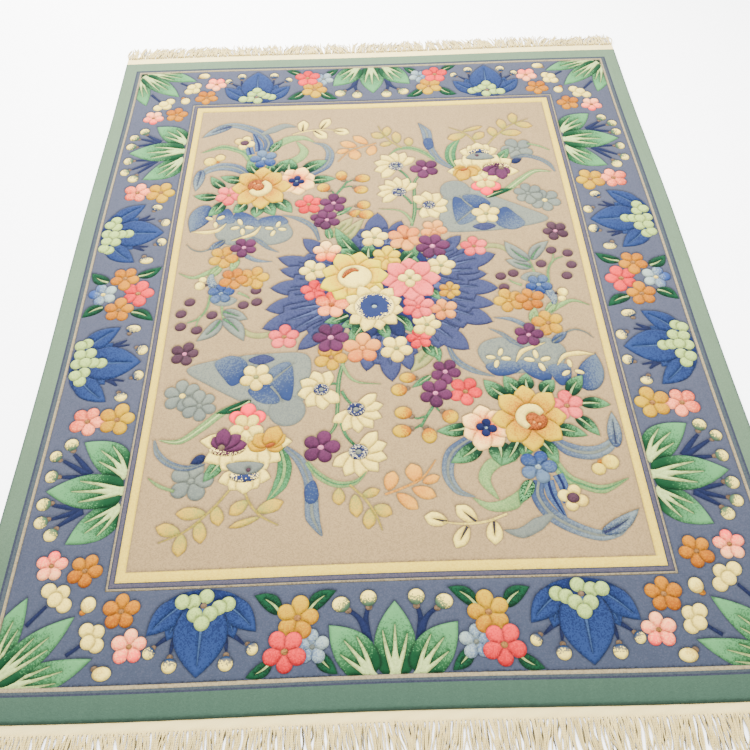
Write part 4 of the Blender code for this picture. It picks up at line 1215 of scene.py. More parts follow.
@dataclass
class PileFace:
    """The pile's face as one triangulated sheet in plan, with a height and an owner for every part.

    An owner is a patch's number, or for plain ground minus one minus the number of its band.
    """

    patches: list[Patch]
    outline_step: float = 0.0058
    fine_step: float = 0.0064
    coarse_step: float = 0.0150
    fine_reach: float = 0.0120
    clearance: float = 0.0027
    merge_reach: float = 0.0014
    scatter: float = 0.16
    rim_gap: float = 0.002
    end_steps: int = 150
    side_steps: int = 190
    shallowest_cut: float = 0.04
    groove_reach: float = 0.0030
    cushion_reach: float = 0.0075
    edge_rounding: float = 0.010
    swell: float = 0.00035
    tuft_jitter: float = 0.00016
    plan: np.ndarray = field(default_factory=lambda: np.zeros((0, 2)))
    faces: np.ndarray = field(default_factory=lambda: np.zeros((0, 3), int))
    owner: np.ndarray = field(default_factory=lambda: np.zeros(0, int))
    height: np.ndarray = field(default_factory=lambda: np.zeros(0))
    crease: np.ndarray = field(default_factory=lambda: np.zeros(0))

    def build(self) -> None:
        """Lay out the points, triangulate them, and work out owners and heights."""
        points, edges = self._constraints()
        loose = self._loose(points)
        flat = [Vector(place) for place in np.vstack((points, loose)).tolist()]
        places, _, faces, _, _, _ = delaunay_2d_cdt(flat, edges, [], 0, 1e-6, True)
        self.plan = np.array(places)
        self.faces = np.array(faces, dtype=int)
        self.owner = self._owners(self.plan[self.faces].mean(axis=1))
        self._raise()
        LOG.info("pile face: %d points, %d triangles", len(self.plan), len(self.faces))

    def _owners(self, places: np.ndarray) -> np.ndarray:
        """Return the topmost patch, or the plain band, at each place."""
        owner = -1 - ring_at(places)
        order = np.argsort(places[:, 0])
        across = places[order, 0]
        for number, patch in enumerate(self.patches):
            low, high = patch.outline.min(axis=0), patch.outline.max(axis=0)
            chosen = order[np.searchsorted(across, low[0]):np.searchsorted(across, high[0])]
            along = places[chosen, 1]
            chosen = chosen[(along >= low[1]) & (along <= high[1])]
            if len(chosen):
                owner[chosen[is_within(places[chosen], patch.outline)]] = number
        return owner

    def _constraints(self) -> tuple[np.ndarray, list[tuple[int, int]]]:
        """Return the points and edges of every outline that shows, and of every band's ring."""
        outlines = [resampled(patch.outline, self.outline_step) for patch in self.patches]
        everything = np.vstack(outlines)
        owner = self._owners(everything)
        number_of = np.repeat(np.arange(len(outlines)), [len(outline) for outline in outlines])
        covered = owner > number_of
        points: list[Pair] = []
        edges: set[tuple[int, int]] = set()
        cells: dict[tuple[int, int], int] = {}
        start = 0
        for outline in outlines:
            hidden = covered[start:start + len(outline)]
            start += len(outline)
            shown = ~(hidden & np.roll(hidden, 1) & np.roll(hidden, -1))
            kept = [self._join(points, cells, place) if show else -1
                    for place, show in zip(outline.tolist(), shown)]
            for index, first in enumerate(kept):
                following = (index + 1) % len(kept)
                second = kept[following]
                if min(first, second) < 0 or first == second or (hidden[index] and hidden[following]):
                    continue
                edges.add((min(first, second), max(first, second)))
        for ground in GROUNDS:
            ring = [self._join(points, cells, place) for place in self._ring(ground)]
            for first, second in zip(ring, ring[1:] + ring[:1]):
                if first != second:
                    edges.add((min(first, second), max(first, second)))
        return np.array(points), sorted(edges)

    def _join(self, points: list[Pair], cells: dict[tuple[int, int], int], place: Pair) -> int:
        """Return the number of a point at a place, reusing one that is nearly there.

        Args:
            points: The points so far.
            cells: The grid cell of each point so far.
            place: Where the point is wanted.

        Returns:
            The point's number.
        """
        column, row = (round(value / self.merge_reach) for value in place)
        for step_x in (-1, 0, 1):
            for step_y in (-1, 0, 1):
                number = cells.get((column + step_x, row + step_y))
                if number is not None and math.dist(points[number], place) < self.merge_reach:
                    return number
        cells[(column, row)] = len(points)
        points.append((place[0], place[1]))
        return len(points) - 1

    def _ring(self, ground: Ground) -> list[Pair]:
        """Return the points of a band's outer ring."""
        corners = [(-1, -1), (1, -1), (1, 1), (-1, 1)]
        ring = []
        for (from_x, from_y), (to_x, to_y) in zip(corners, corners[1:] + corners[:1]):
            count = self.end_steps if from_x != to_x else self.side_steps
            for step in range(count):
                share = step / count
                ring.append(((from_x + (to_x - from_x) * share) * ground.half_x,
                             (from_y + (to_y - from_y) * share) * ground.half_y))
        return ring

    def _loose(self, points: np.ndarray) -> np.ndarray:
        """Return the points between outlines, close together beside them and sparse on plain ground."""
        tree = self._tree(points)
        dice = np.random.default_rng(7)
        kept = []
        steps = (
            (self.fine_step, self.clearance, self.fine_reach),
            (self.coarse_step, self.fine_reach, math.inf),
        )
        for step, nearest, farthest in steps:
            grid = self._hexagons(step)
            grid = grid + dice.uniform(-self.scatter, self.scatter, grid.shape) * step
            inside = np.abs(grid) < (HALF_X - self.rim_gap, HALF_Y - self.rim_gap)
            grid = grid[inside.all(axis=1)]
            reach = np.array([tree.find((x, y, 0.0))[2] for x, y in grid.tolist()])
            kept.append(grid[(reach >= nearest) & (reach < farthest)])
        return np.vstack(kept)

    @staticmethod
    def _hexagons(step: float) -> np.ndarray:
        """Return an even triangular grid over the rug."""
        rows = np.arange(-HALF_Y, HALF_Y, step * math.sqrt(0.75))
        columns = np.arange(-HALF_X, HALF_X, step)
        grid = np.stack(np.meshgrid(columns, rows), axis=-1)
        grid[1::2, :, 0] += step / 2
        return grid.reshape(-1, 2)

    @staticmethod
    def _tree(points: np.ndarray) -> kdtree.KDTree:
        """Return a search tree of plan points."""
        tree = kdtree.KDTree(len(points))
        for number, (x, y) in enumerate(points.tolist()):
            tree.insert((x, y, 0.0), number)
        tree.balance()
        return tree

    def value_of(self, name: str) -> np.ndarray:
        """Return a patch or ground value for every owner, the grounds last so that their numbers fit."""
        values = [getattr(patch, name) for patch in self.patches]
        return np.array(values + [getattr(ground, name) for ground in reversed(GROUNDS)], dtype=float)

    def _raise(self) -> None:
        """Work out each point's height and how deep in a carved line it lies."""
        sides = np.vstack([self.faces[:, pair] for pair in ((0, 1), (1, 2), (2, 0))])
        sides.sort(axis=1)
        face_of = np.tile(np.arange(len(self.faces)), 3)
        order = np.lexsort((sides[:, 1], sides[:, 0]))
        sides, face_of = sides[order], face_of[order]
        twin = (sides[1:] == sides[:-1]).all(axis=1)
        first, second = face_of[:-1][twin], face_of[1:][twin]
        border = self.owner[first] != self.owner[second]
        cut = self.value_of("carve")
        depth = np.maximum(cut[self.owner[first]], cut[self.owner[second]])[border]
        depth = np.where((self.owner[first][border] < 0) & (self.owner[second][border] < 0),
                         np.minimum(cut[self.owner[first]], cut[self.owner[second]])[border], depth)
        lines = sides[:-1][twin][border]
        cuts = depth > self.shallowest_cut
        lines, depth = lines[cuts], depth[cuts]
        ends = self.plan[lines]
        samples = np.vstack((ends[:, 0], ends[:, 1], ends.mean(axis=1)))
        depths = np.tile(depth, 3)
        tree = self._tree(samples)
        found = [tree.find((x, y, 0.0))[1:] for x, y in self.plan.tolist()]
        nearest = np.array([number for number, _ in found])
        distance = np.array([reach for _, reach in found])
        owner = np.zeros(len(self.plan), int)
        owner[self.faces.ravel()] = np.repeat(self.owner, 3)
        rise = self.value_of("rise")[owner]
        # The crease lowers the face in its carved lines, and the wool's finish also darkens it there as
        # painted shade.
        self.crease = depths[nearest] * np.exp(-(distance / self.groove_reach) ** 2)
        self.height = GROUND + rise * (1 - np.exp(-distance / self.cushion_reach)) - CARVING * self.crease
        edge = np.minimum(HALF_X - np.abs(self.plan[:, 0]), HALF_Y - np.abs(self.plan[:, 1]))
        rounding = np.clip(1 - edge / self.edge_rounding, 0.0, 1.0) ** 2
        self.height -= (GROUND - RIM) * rounding
        self.height += self._unevenness()

    def _unevenness(self) -> np.ndarray:
        """Return the slight swells of a shorn pile, and the jitter of its tufts."""
        x, y = self.plan.T
        swell = np.sin(9.1 * x + 2.3 * np.sin(3.7 * y)) * np.sin(7.3 * y + 1.9 * np.sin(4.1 * x))
        jitter = np.random.default_rng(19).uniform(-1.0, 1.0, len(x))
        return self.swell * swell + self.tuft_jitter * jitter


@dataclass
class CarvedPile:
    """The wool pile, cut from its face into the field, the border and the outer band."""

    face: PileFace
    finish: "WoolPile"
    wall_shadow: float = 0.8
    ring_reach: float = 0.03
    crease_angle: float = 62.0

    def build(self) -> list[bpy.types.Object]:
        """Return the three pieces of the pile."""
        ring = ring_at(self.face.plan[self.face.faces].mean(axis=1))
        made = []
        for name, chosen in (
            ("pile_field", ring >= FIELD_RING),
            ("pile_border", ring == BORDER_RING),
            ("pile_edge_band", ring < BORDER_RING),
        ):
            piece = self._piece(name, chosen)
            piece.data.materials.append(self.finish.material())
            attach(piece, "root")
            LOG.info("%s: %d triangles", name, len(piece.data.polygons))
            made.append(piece)
        return made

    def _piece(self, name: str, chosen: np.ndarray) -> bpy.types.Object:
        """Return some of the face's triangles as a closed piece down to the backing.

        Args:
            name: The piece's name.
            chosen: Which triangles it takes.

        Returns:
            The piece, dressed with the pile's colours.
        """
        faces = self.face.faces[chosen]
        owner = self.face.owner[chosen]
        used, faces = np.unique(faces, return_inverse=True)
        faces = faces.reshape(-1, 3)
        plan = self.face.plan[used]
        height = self.face.height[used]
        crease = self.face.crease[used]
        sides = np.vstack([faces[:, pair] for pair in ((0, 1), (1, 2), (2, 0))])
        face_of = np.tile(np.arange(len(faces)), 3)
        keys = np.sort(sides, axis=1) @ np.array((len(plan), 1))
        _, index, count = np.unique(keys, return_index=True, return_counts=True)
        rim = sides[index[count == 1]]
        rim_owner = owner[face_of[index[count == 1]]]
        rim_points, foot = np.unique(rim, return_inverse=True)
        foot = foot.reshape(-1, 2) + len(plan)
        walls = np.vstack((
            np.column_stack((rim[:, 1], rim[:, 0], foot[:, 0])),
            np.column_stack((rim[:, 1], foot[:, 0], foot[:, 1])),
        ))
        floor = self._floor(plan[rim_points], foot - len(plan), plan, faces)
        floor = floor + len(plan)
        everything = np.vstack((faces, walls, floor))
        owners = np.concatenate((owner, rim_owner, rim_owner, np.full(len(floor), -1)))
        plan = np.vstack((plan, plan[rim_points]))
        height = np.concatenate((height, np.full(len(rim_points), BACKING)))
        # The walls down to the backing are given a crease so that they get painted shade.
        crease = np.concatenate((crease, np.full(len(rim_points), self.wall_shadow)))
        return self._mesh(name, plan, height, crease, everything, owners)

    def _floor(self, points: np.ndarray, edges: np.ndarray, plan: np.ndarray,
               faces: np.ndarray) -> np.ndarray:
        """Return the triangles of a piece's flat underside.

        Args:
            points: The rim's points in plan.
            edges: The rim's edges, as pairs of those points.
            plan: All the piece's points in plan.
            faces: The piece's upper triangles, because only what lies under them is kept.

        Returns:
            The underside's triangles, facing down.
        """
        flat = [Vector(place) for place in points.tolist()]
        _, _, found, sources, _, _ = delaunay_2d_cdt(flat, edges.tolist(), [], 0, 1e-7, True)
        made = np.array(found, dtype=int)
        index_of = np.array([source[0] for source in sources])
        made = index_of[made]
        above = np.abs(plan[faces].mean(axis=1))
        gaps = [np.hypot(*(above - place).T).min() for place in np.abs(points[made].mean(axis=1))]
        return made[np.array(gaps) < self.ring_reach][:, ::-1]

    def _mesh(self, name: str, plan: np.ndarray, height: np.ndarray, crease: np.ndarray, faces: np.ndarray,
              owners: np.ndarray) -> bpy.types.Object:
        """Return the finished mesh object with its wool colours as attributes."""
        mesh = bpy.data.meshes.new(name)
        places = np.column_stack((waved(plan), height))
        mesh.from_pydata(places.tolist(), [], faces.tolist())
        corners = plan[faces.ravel()]
        corner_owner = np.repeat(owners, 3)
        self._colour(mesh, corners, corner_owner)
        # The crease attribute carries the painted shade of the grooves and the walls to the wool's finish.
        mesh.attributes.new("crease", "FLOAT", "POINT").data.foreach_set("value", crease.astype(np.float32))
        mesh.shade_smooth()
        mesh.set_sharp_from_angle(angle=math.radians(self.crease_angle))
        piece = bpy.data.objects.new(name, mesh)
        bpy.context.scene.collection.objects.link(piece)
        return piece

    def _colour(self, mesh: bpy.types.Mesh, corners: np.ndarray, owner: np.ndarray) -> None:
        """Write the two shades, their blend and their grain to every corner."""
        tones = np.array([patch.tone.reflectances() for patch in self.face.patches]
                         + [ground.tone.reflectances() for ground in reversed(GROUNDS)])
        for index, name in enumerate(("light", "deep")):
            colours = np.ones((len(owner), 4), dtype=np.float32)
            colours[:, :3] = tones[owner, index]
            layer = mesh.color_attributes.new(name, "FLOAT_COLOR", "CORNER")
            layer.data.foreach_set("color", colours.ravel())
        blend = self._blends(corners, owner)
        grain = self.face.value_of("grain")[owner]
        for name, values in (("blend", blend), ("grain", grain)):
            mesh.attributes.new(name, "FLOAT", "CORNER").data.foreach_set("value", values.astype(np.float32))

    def _blends(self, corners: np.ndarray, owner: np.ndarray) -> np.ndarray:
        """Return the share of the deep shade at each corner."""
        blend = np.zeros(len(owner))
        order = np.argsort(owner, kind="stable")
        numbers, starts = np.unique(owner[order], return_index=True)
        for number, chosen in zip(numbers, np.split(order, starts[1:])):
            if number < 0:
                blend[chosen] = GROUNDS[-1 - number].blend(corners[chosen])
            else:
                blend[chosen] = self.face.patches[number].shade.at(corners[chosen])
        return blend


class Term:
    """A number socket that takes part in Python arithmetic by adding Math nodes."""

    def __init__(self, graph: "Graph", socket: bpy.types.NodeSocket) -> None:
        """Wrap a socket of a graph."""
        self.graph = graph
        self.socket = socket

    def _math(self, operation: str, *values: Union["Term", float]) -> "Term":
        """Return the result of one Math node on values."""
        made = self.graph.node("ShaderNodeMath", {"operation": operation}, dict(enumerate(values)))
        return Term(self.graph, made.outputs[0])

    def __add__(self, other: Union["Term", float]) -> "Term":
        """Return the sum."""
        return self._math("ADD", self, other)

    __radd__ = __add__

    def __sub__(self, other: Union["Term", float]) -> "Term":
        """Return the difference."""
        return self._math("SUBTRACT", self, other)

    def __rsub__(self, other: Union["Term", float]) -> "Term":
        """Return the difference from a number."""
        return self._math("SUBTRACT", other, self)

    def __mul__(self, other: Union["Term", float]) -> "Term":
        """Return the product."""
        return self._math("MULTIPLY", self, other)

    __rmul__ = __mul__

    def __lt__(self, other: Union["Term", float]) -> "Term":
        """Return 1 where this is less than the other."""
        return self._math("LESS_THAN", self, other)

    def sine(self) -> "Term":
        """Return the sine."""
        return self._math("SINE", self)


class Graph:
    """A material's node tree, with one way to add a node."""

    def __init__(self, name: str) -> None:
        """Make a material with a Principled shader."""
        self.material = bpy.data.materials.new(name)
        self.material.use_nodes = True
        self.tree = self.material.node_tree
        self.shader = self.tree.nodes["Principled BSDF"]

    def node(self, kind: str, settings: Optional[dict] = None,
             inputs: Optional[dict] = None) -> bpy.types.Node:
        """Add a node.

        Args:
            kind: The node's type.
            settings: Its properties, set first.
            inputs: Values or links for its sockets, by name or number.

        Returns:
            The node.
        """
        made = self.tree.nodes.new(kind)
        for name, value in (settings or {}).items():
            setattr(made, name, value)
        for key, value in (inputs or {}).items():
            self.connect(made.inputs[key], value)
        return made

    def connect(self, socket: bpy.types.NodeSocket, value: object) -> None:
        """Set a socket to a value, or link it to another socket."""
        source = value.socket if isinstance(value, Term) else value
        if isinstance(source, bpy.types.NodeSocket):
            self.tree.links.new(source, socket)
        else:
            socket.default_value = source

    def place(self) -> bpy.types.NodeSocket:
        """Return the object coordinates."""
        return self.node("ShaderNodeTexCoord").outputs["Object"]

    def scaled(self, vector: bpy.types.NodeSocket,
               scale: tuple[float, float, float]) -> bpy.types.NodeSocket:
        """Return a vector times a scale on each axis."""
        made = self.node("ShaderNodeVectorMath", {"operation": "MULTIPLY"}, {0: vector, 1: scale})
        return made.outputs[0]

    def noise(self, vector: bpy.types.NodeSocket, scale: float, detail: float = 2.0) -> Term:
        """Return smooth noise at a scale in features for each metre."""
        made = self.node("ShaderNodeTexNoise", {}, {"Vector": vector, "Scale": scale, "Detail": detail})
        return Term(self, made.outputs[0])

    def attribute(self, name: str, output: str = "Fac") -> bpy.types.NodeSocket:
        """Return an attribute of the mesh."""
        return self.node("ShaderNodeAttribute", {"attribute_name": name}).outputs[output]

    def mixed(self, factor: Union[Term, float], first: object, second: object, blend: str = "MIX"
              ) -> bpy.types.NodeSocket:
        """Return two colours mixed."""
        made = self.node("ShaderNodeMix", {"data_type": "RGBA", "blend_type": blend})
        self.connect(made.inputs[0], factor)
        self.connect(made.inputs[6], first)
        self.connect(made.inputs[7], second)
        return made.outputs[2]

    def bump(self, height: Term, distance: float, strength: float = 1.0) -> None:
        """Give the shader's normal a bump."""
        sizes = {"Height": height, "Distance": distance, "Strength": strength}
        made = self.node("ShaderNodeBump", {}, sizes)
        self.connect(self.shader.inputs["Normal"], made.outputs[0])

    def cloth(self, colour: object, value: Term, roughness: float, sheen: float) -> None:
        """Set what all the rug's fibres have in common.

        Args:
            colour: The fibre's colour.
            value: How bright it is at each place, as a factor.
            roughness: The shader's roughness.
            sheen: The weight of its sheen.
        """
        grey = self.node("ShaderNodeCombineColor", {}, {0: value, 1: value, 2: value}).outputs[0]
        self.connect(self.shader.inputs["Base Color"], self.mixed(1.0, colour, grey, "MULTIPLY"))
        self.shader.inputs["Roughness"].default_value = roughness
        self.shader.inputs["Sheen Weight"].default_value = sheen
        self.shader.inputs["Sheen Roughness"].default_value = 0.55
        self.shader.inputs["Specular IOR Level"].default_value = 0.06


@dataclass(frozen=True)
class WoolPile:
    """Cut wool pile: single knots of colour, uneven dye, painted shade in the carved lines and a tufted
    surface.
    """

    knot: float = 0.0034
    roughness: float = 0.95
    sheen: float = 0.03
    groove_shadow: float = 0.50

    def material(self) -> bpy.types.Material:
        """Return the finish, made once and shared by the pile's pieces."""
        made = bpy.data.materials.get("carved_wool")
        if made:
            return made
        graph = Graph("carved_wool")
        place = graph.place()
        cell = graph.node("ShaderNodeVectorMath", {"operation": "FLOOR"},
                          {0: graph.scaled(place, (1 / self.knot, 1 / self.knot, 0.0))}).outputs[0]
        speck = graph.node("ShaderNodeTexWhiteNoise", {"noise_dimensions": "3D"}, {"Vector": cell})
        chance = Term(graph, speck.outputs["Value"])
        blend = Term(graph, graph.attribute("blend"))
        grain = Term(graph, graph.attribute("grain"))
        knotted = chance < blend
        share = blend + (knotted - blend) * grain
        wool = graph.mixed(share, graph.attribute("light", "Color"), graph.attribute("deep", "Color"))
        dye = graph.noise(graph.scaled(place, (1.4, 7.0, 0.0)), 1.0, 3.0)
        tuft = graph.noise(graph.scaled(place, (1.0, 1.0, 0.6)), 330.0, 3.0)
        crease = Term(graph, graph.attribute("crease"))
        streak = graph.noise(graph.scaled(place, (62.0, 5.0, 0.0)), 1.0, 2.0)
        # The tuft noise also brightens the wool where the bump is high and darkens it where it is low:
        # painted shade between the tufts.
        value = (0.90 + 0.14 * dye) * (0.93 + 0.07 * chance) * (0.84 + 0.32 * tuft) * (0.93 + 0.14 * streak)
        # Painted shade: the wool is darkened along the carved grooves and on the pieces' walls.
        value = value * (1 - self.groove_shadow * crease)
        graph.cloth(wool, value, self.roughness, self.sheen)
        coarse = graph.noise(place, 120.0, 2.0)
        graph.bump(tuft * 0.8 + coarse * 0.6, 0.0016, 0.8)
        return graph.material


@dataclass(frozen=True)
class CottonWeave:
    """Plain-woven cotton, with the spacing of its ribs along the rug and across it."""

    name: str
    light: tuple[int, int, int]
    deep: tuple[int, int, int]
    rib: float
    cross: float
    roughness: float = 0.88
    sheen: float = 0.12

    def material(self) -> bpy.types.Material:
        """Return the finish."""
        graph = Graph(self.name)
        place = graph.place()
        axes = graph.node("ShaderNodeSeparateXYZ", {}, {0: place})
        across = Term(graph, axes.outputs[0])
        along = Term(graph, axes.outputs[1])
        weft = (along * (2 * math.pi / self.rib)).sine()
        warp = (across * (2 * math.pi / self.cross)).sine()
        weave = weft * warp
        darkening = graph.noise(place, 14.0, 3.0)
        fibre = graph.noise(place, 700.0, 2.0)
        # The cloth is painted deeper where the weave's bump is low, as painted shade in its hollows, besides
        # its random soiling.
        share = 0.25 + 0.35 * darkening + 0.18 * (1 - weave)
        colour = graph.mixed(share, (*reflectance(self.light), 1.0), (*reflectance(self.deep), 1.0))
        graph.cloth(colour, 0.92 + 0.14 * fibre, self.roughness, self.sheen)
        graph.bump(weave * 0.5 + fibre * 0.3, 0.0008, 0.7)
        return graph.material


@dataclass(frozen=True)
class CottonThread:
    """Plied cotton thread, its twist read from the thread's own UV map."""

    name: str = "fringe_cotton"
    light: tuple[int, int, int] = (255, 249, 218)
    deep: tuple[int, int, int] = (228, 214, 160)
    shaded: tuple[int, int, int] = (78, 72, 52)
    ply: float = 0.0062
    roughness: float = 0.86
    sheen: float = 0.15

    def material(self) -> bpy.types.Material:
        """Return the finish."""
        graph = Graph(self.name)
        axes = graph.node("ShaderNodeSeparateXYZ", {}, {0: graph.node("ShaderNodeUVMap").outputs[0]})
        around = Term(graph, axes.outputs[0])
        along = Term(graph, axes.outputs[1])
        twist = (around * (4 * math.pi) + along * (2 * math.pi / self.ply)).sine()
        place = graph.place()
        darkening = graph.noise(place, 22.0, 3.0)
        fibre = graph.noise(place, 900.0, 2.0)
        # The thread is painted deeper where its twist's bump is low, as painted shade in the ply's grooves,
        # besides its random soiling.
        share = 0.55 * darkening + 0.14 * (1 - twist) - 0.05
        cotton = graph.mixed(share, (*reflectance(self.light), 1.0), (*reflectance(self.deep), 1.0))
        # The hidden under-strands come out near the shaded colour, as painted shade in the gaps under the
        # threads; the others are darkened a little at random.
        hidden = Term(graph, graph.attribute("darkening"))
        colour = graph.mixed(hidden, cotton, (*reflectance(self.shaded), 1.0))
        graph.cloth(colour, 0.90 + 0.16 * fibre, self.roughness, self.sheen)
        graph.bump(twist * 0.6 + fibre * 0.3, 0.0006, 0.8)
        return graph.material


def active_piece(name: str) -> bpy.types.Object:
    """Return the object that an operator has just added, renamed."""
    piece = bpy.context.active_object
    piece.name = name
    piece.data.name = name
    return piece


@dataclass
class Foundation:
    """The cotton foundation that the knots are tied on, a flat cloth under the pile."""

    inset: float = 0.0015
    gap: float = 0.0001
    finish: CottonWeave = CottonWeave("foundation_cotton", (226, 218, 192), (190, 178, 146), 0.0068, 0.0034)

    def build(self) -> bpy.types.Object:
        """Return the foundation as a closed sheet with the rug's waved edge."""
        bpy.ops.object.select_all(action="DESELECT")
        bpy.ops.mesh.primitive_grid_add(x_subdivisions=48, y_subdivisions=60, size=2.0)
        piece = active_piece("cotton_foundation")
        half = np.array((HALF_X - self.inset, HALF_Y - self.inset))
        for vertex in piece.data.vertices:
            plan = np.array([[vertex.co.x * half[0], vertex.co.y * half[1]]])
            vertex.co.xy = waved(plan)[0]
            vertex.co.z = BACKING - self.gap
        thicken = piece.modifiers.new("thickness", "SOLIDIFY")
        thicken.thickness = BACKING - self.gap
        thicken.offset = -1.0
        bpy.ops.object.modifier_apply(modifier=thicken.name)
        piece.data.materials.append(self.finish.material())
        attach(piece, "root")
        return piece


@dataclass
class FringedEnd:
    """One end of the rug: its woven web and the knotted warp threads that hang from it."""

    name: str
    node: str
    side: int
    seed: int
    unrest: float = 0.14
    web_width: float = 0.028
    web_thickness: float = 0.0042
    web_hollow: float = 0.0020
    scallop: float = 0.0012
    wander: float = 0.0010
    swell: float = 0.0004
    droop: float = 0.0016
    knots: int = 200
    knot_reach: float = 0.0034
    knot_height: float = 0.0030
    knot_radius: float = 0.0018
    carried_lean: float = 0.78
    spread: float = 0.0074
    threads_per_knot: int = 4
    thread: float = 0.0048
    length: float = 0.108
    stations: int = 11
    sides: int = 6

    def edge(self, x: float) -> float:
        """Return how far out the pile's end lies at x."""
        return HALF_Y + END_WAVE * math.sin(math.pi * 3 * (x + HALF_X) / (2 * HALF_X))

    def build(self) -> list[bpy.types.Object]:
        """Return the web and the threads."""
        web = self._web()
        threads = self._threads()
        for piece in (web, threads):
            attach(piece, "root")
        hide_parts(self.node)
        LOG.info("%s: %d faces", threads.name, len(threads.data.polygons))
        return [web, threads]

    def _web(self) -> bpy.types.Object:
        """Return the flat-woven web between the pile and the knots."""
        bpy.ops.object.select_all(action="DESELECT")
        bpy.ops.mesh.primitive_grid_add(x_subdivisions=400, y_subdivisions=8, size=2.0)
        piece = active_piece(f"web_{self.name}")
        dice = random.Random(self.seed)
        phase = dice.uniform(0.0, 6.28)
        for vertex in piece.data.vertices:
            across = (vertex.co.y * self.side + 1) / 2
            x = vertex.co.x * HALF_X
            scallop = self.scallop * math.sin(2 * math.pi * x * self.knots / (2 * HALF_X)) * across
            wander = self.wander * math.sin(23 * x + phase) * across
            out = self.edge(x) + 0.0003 + across * self.web_width + scallop + wander
            swell = self.swell * math.sin(61 * x + 5 * across + phase)
            vertex.co = (x, self.side * out, self.web_thickness + swell - self.droop * across ** 3)
        bpy.ops.object.mode_set(mode="EDIT")
        bpy.ops.mesh.select_all(action="SELECT")
        bpy.ops.mesh.normals_make_consistent(inside=False)
        bpy.ops.object.mode_set(mode="OBJECT")
        thicken = piece.modifiers.new("thickness", "SOLIDIFY")
        thicken.thickness = self.web_thickness - self.web_hollow
        thicken.offset = -1.0
        bpy.ops.object.modifier_apply(modifier=thicken.name)
        piece.data.shade_smooth()
        piece.data.set_sharp_from_angle(angle=math.radians(50))
        piece.data.materials.append(WEB_COTTON.material())
        return piece

    def _threads(self) -> bpy.types.Object:
        """Return all the knots and threads as one mesh."""
        dice = random.Random(self.seed)
        sheet = bmesh.new()
        sheet.loops.layers.uv.new("UVMap")
        sheet.loops.layers.float.new("darkening")
        pitch = 2 * HALF_X / self.knots
        lean = 0.0
        for number in range(self.knots):
            x = -HALF_X + (number + 0.5) * pitch
            start = self.edge(x) + self.web_width - 0.002
            outward = min(1.0, 12 * (1 - abs(x) / HALF_X))
            lean = outward * (self.carried_lean * lean + dice.uniform(-self.unrest, self.unrest))
            self._knot(sheet, x + dice.uniform(-0.001, 0.001), start + dice.uniform(0.003, 0.007), dice)
            for strand in range(self.threads_per_knot):
                offset = (strand / (self.threads_per_knot - 1) - 0.5) * self.spread
                sway = lean + dice.uniform(-self.unrest, self.unrest) * 0.8 * outward
                spine = self._spine(x, start, offset, sway, strand, dice)
                # The lowest strand of each knot is painted dark, as painted shade under the strands on top,
                # which are only a little darker at random.
                hidden = strand == 1
                darkening = dice.uniform(0.75, 1.0) if hidden else dice.uniform(0.0, 0.28)
                self._tube(sheet, spine, self.thread / 2 * dice.uniform(0.88, 1.08), 0.5, darkening)
        mesh = bpy.data.meshes.new(f"threads_{self.name}")
        bmesh.ops.recalc_face_normals(sheet, faces=sheet.faces)
        sheet.to_mesh(mesh)
        sheet.free()
        mesh.shade_smooth()
        mesh.materials.append(THREAD_COTTON.material())
        piece = bpy.data.objects.new(mesh.name, mesh)
        bpy.context.scene.collection.objects.link(piece)
        return piece

    def _spine(self, x: float, start: float, offset: float, lean: float, strand: int, dice: random.Random
               ) -> list[Vector]:
        """Return a thread's middle line, from the web out over the floor.

        Args:
            x: Where its knot lies along the end.
            start: How far out it starts.
            offset: How far beside the knot's middle it leaves.
            lean: How far it leans, as a share of its length.
            strand: Its place among its knot's threads.
            dice: The end's random numbers.

        Returns:
            Points from root to tip.
        """
        length = self.length + dice.uniform(-0.016, 0.014)
        curl = dice.uniform(-0.07, 0.07) * self.unrest / 0.14
        phase = dice.uniform(0.0, 6.28)
        ripple = dice.uniform(0.0006, 0.0020)
        layer = 0.0 if strand == 1 else self.thread * dice.uniform(0.55, 1.0)
        if strand == 1:
            length *= dice.uniform(0.6, 0.9)
        points = []
        for station in range(self.stations):
            share = station / (self.stations - 1)
            spread = offset * (0.55 + 1.1 * share)
            sway = length * (lean * share ** 1.5 + curl * math.sin(math.pi * share))
            sway += ripple * math.sin(9 * share + phase)
            out = start + length * share * math.sqrt(max(0.3, 1 - lean * lean))
            settle = self.web_thickness * 0.45 * (1 - share) ** 3
            z = self.thread / 2 + 0.0001 + settle + layer * math.sin(math.pi * min(1.0, share + 0.15)) ** 0.5
            points.append(Vector((x + spread + sway, self.side * out, z)))
        return points

    def _knot(self, sheet: bmesh.types.BMesh, x: float, out: float, dice: random.Random) -> None:
        """Add the small overhand knot that gathers the warp ends at the web."""
        loop = []
        for station in range(7):
            angle = math.pi * (station / 6 - 0.5) * 1.5
            along = self.side * (out + 0.0016 * math.cos(2 * angle))
            height = self.knot_height + 0.0019 * math.cos(angle)
            loop.append(Vector((x + self.knot_reach * math.sin(angle), along, height)))
        self._tube(sheet, loop, self.knot_radius * dice.uniform(1.05, 1.25), 1.0, dice.uniform(0.0, 0.2))

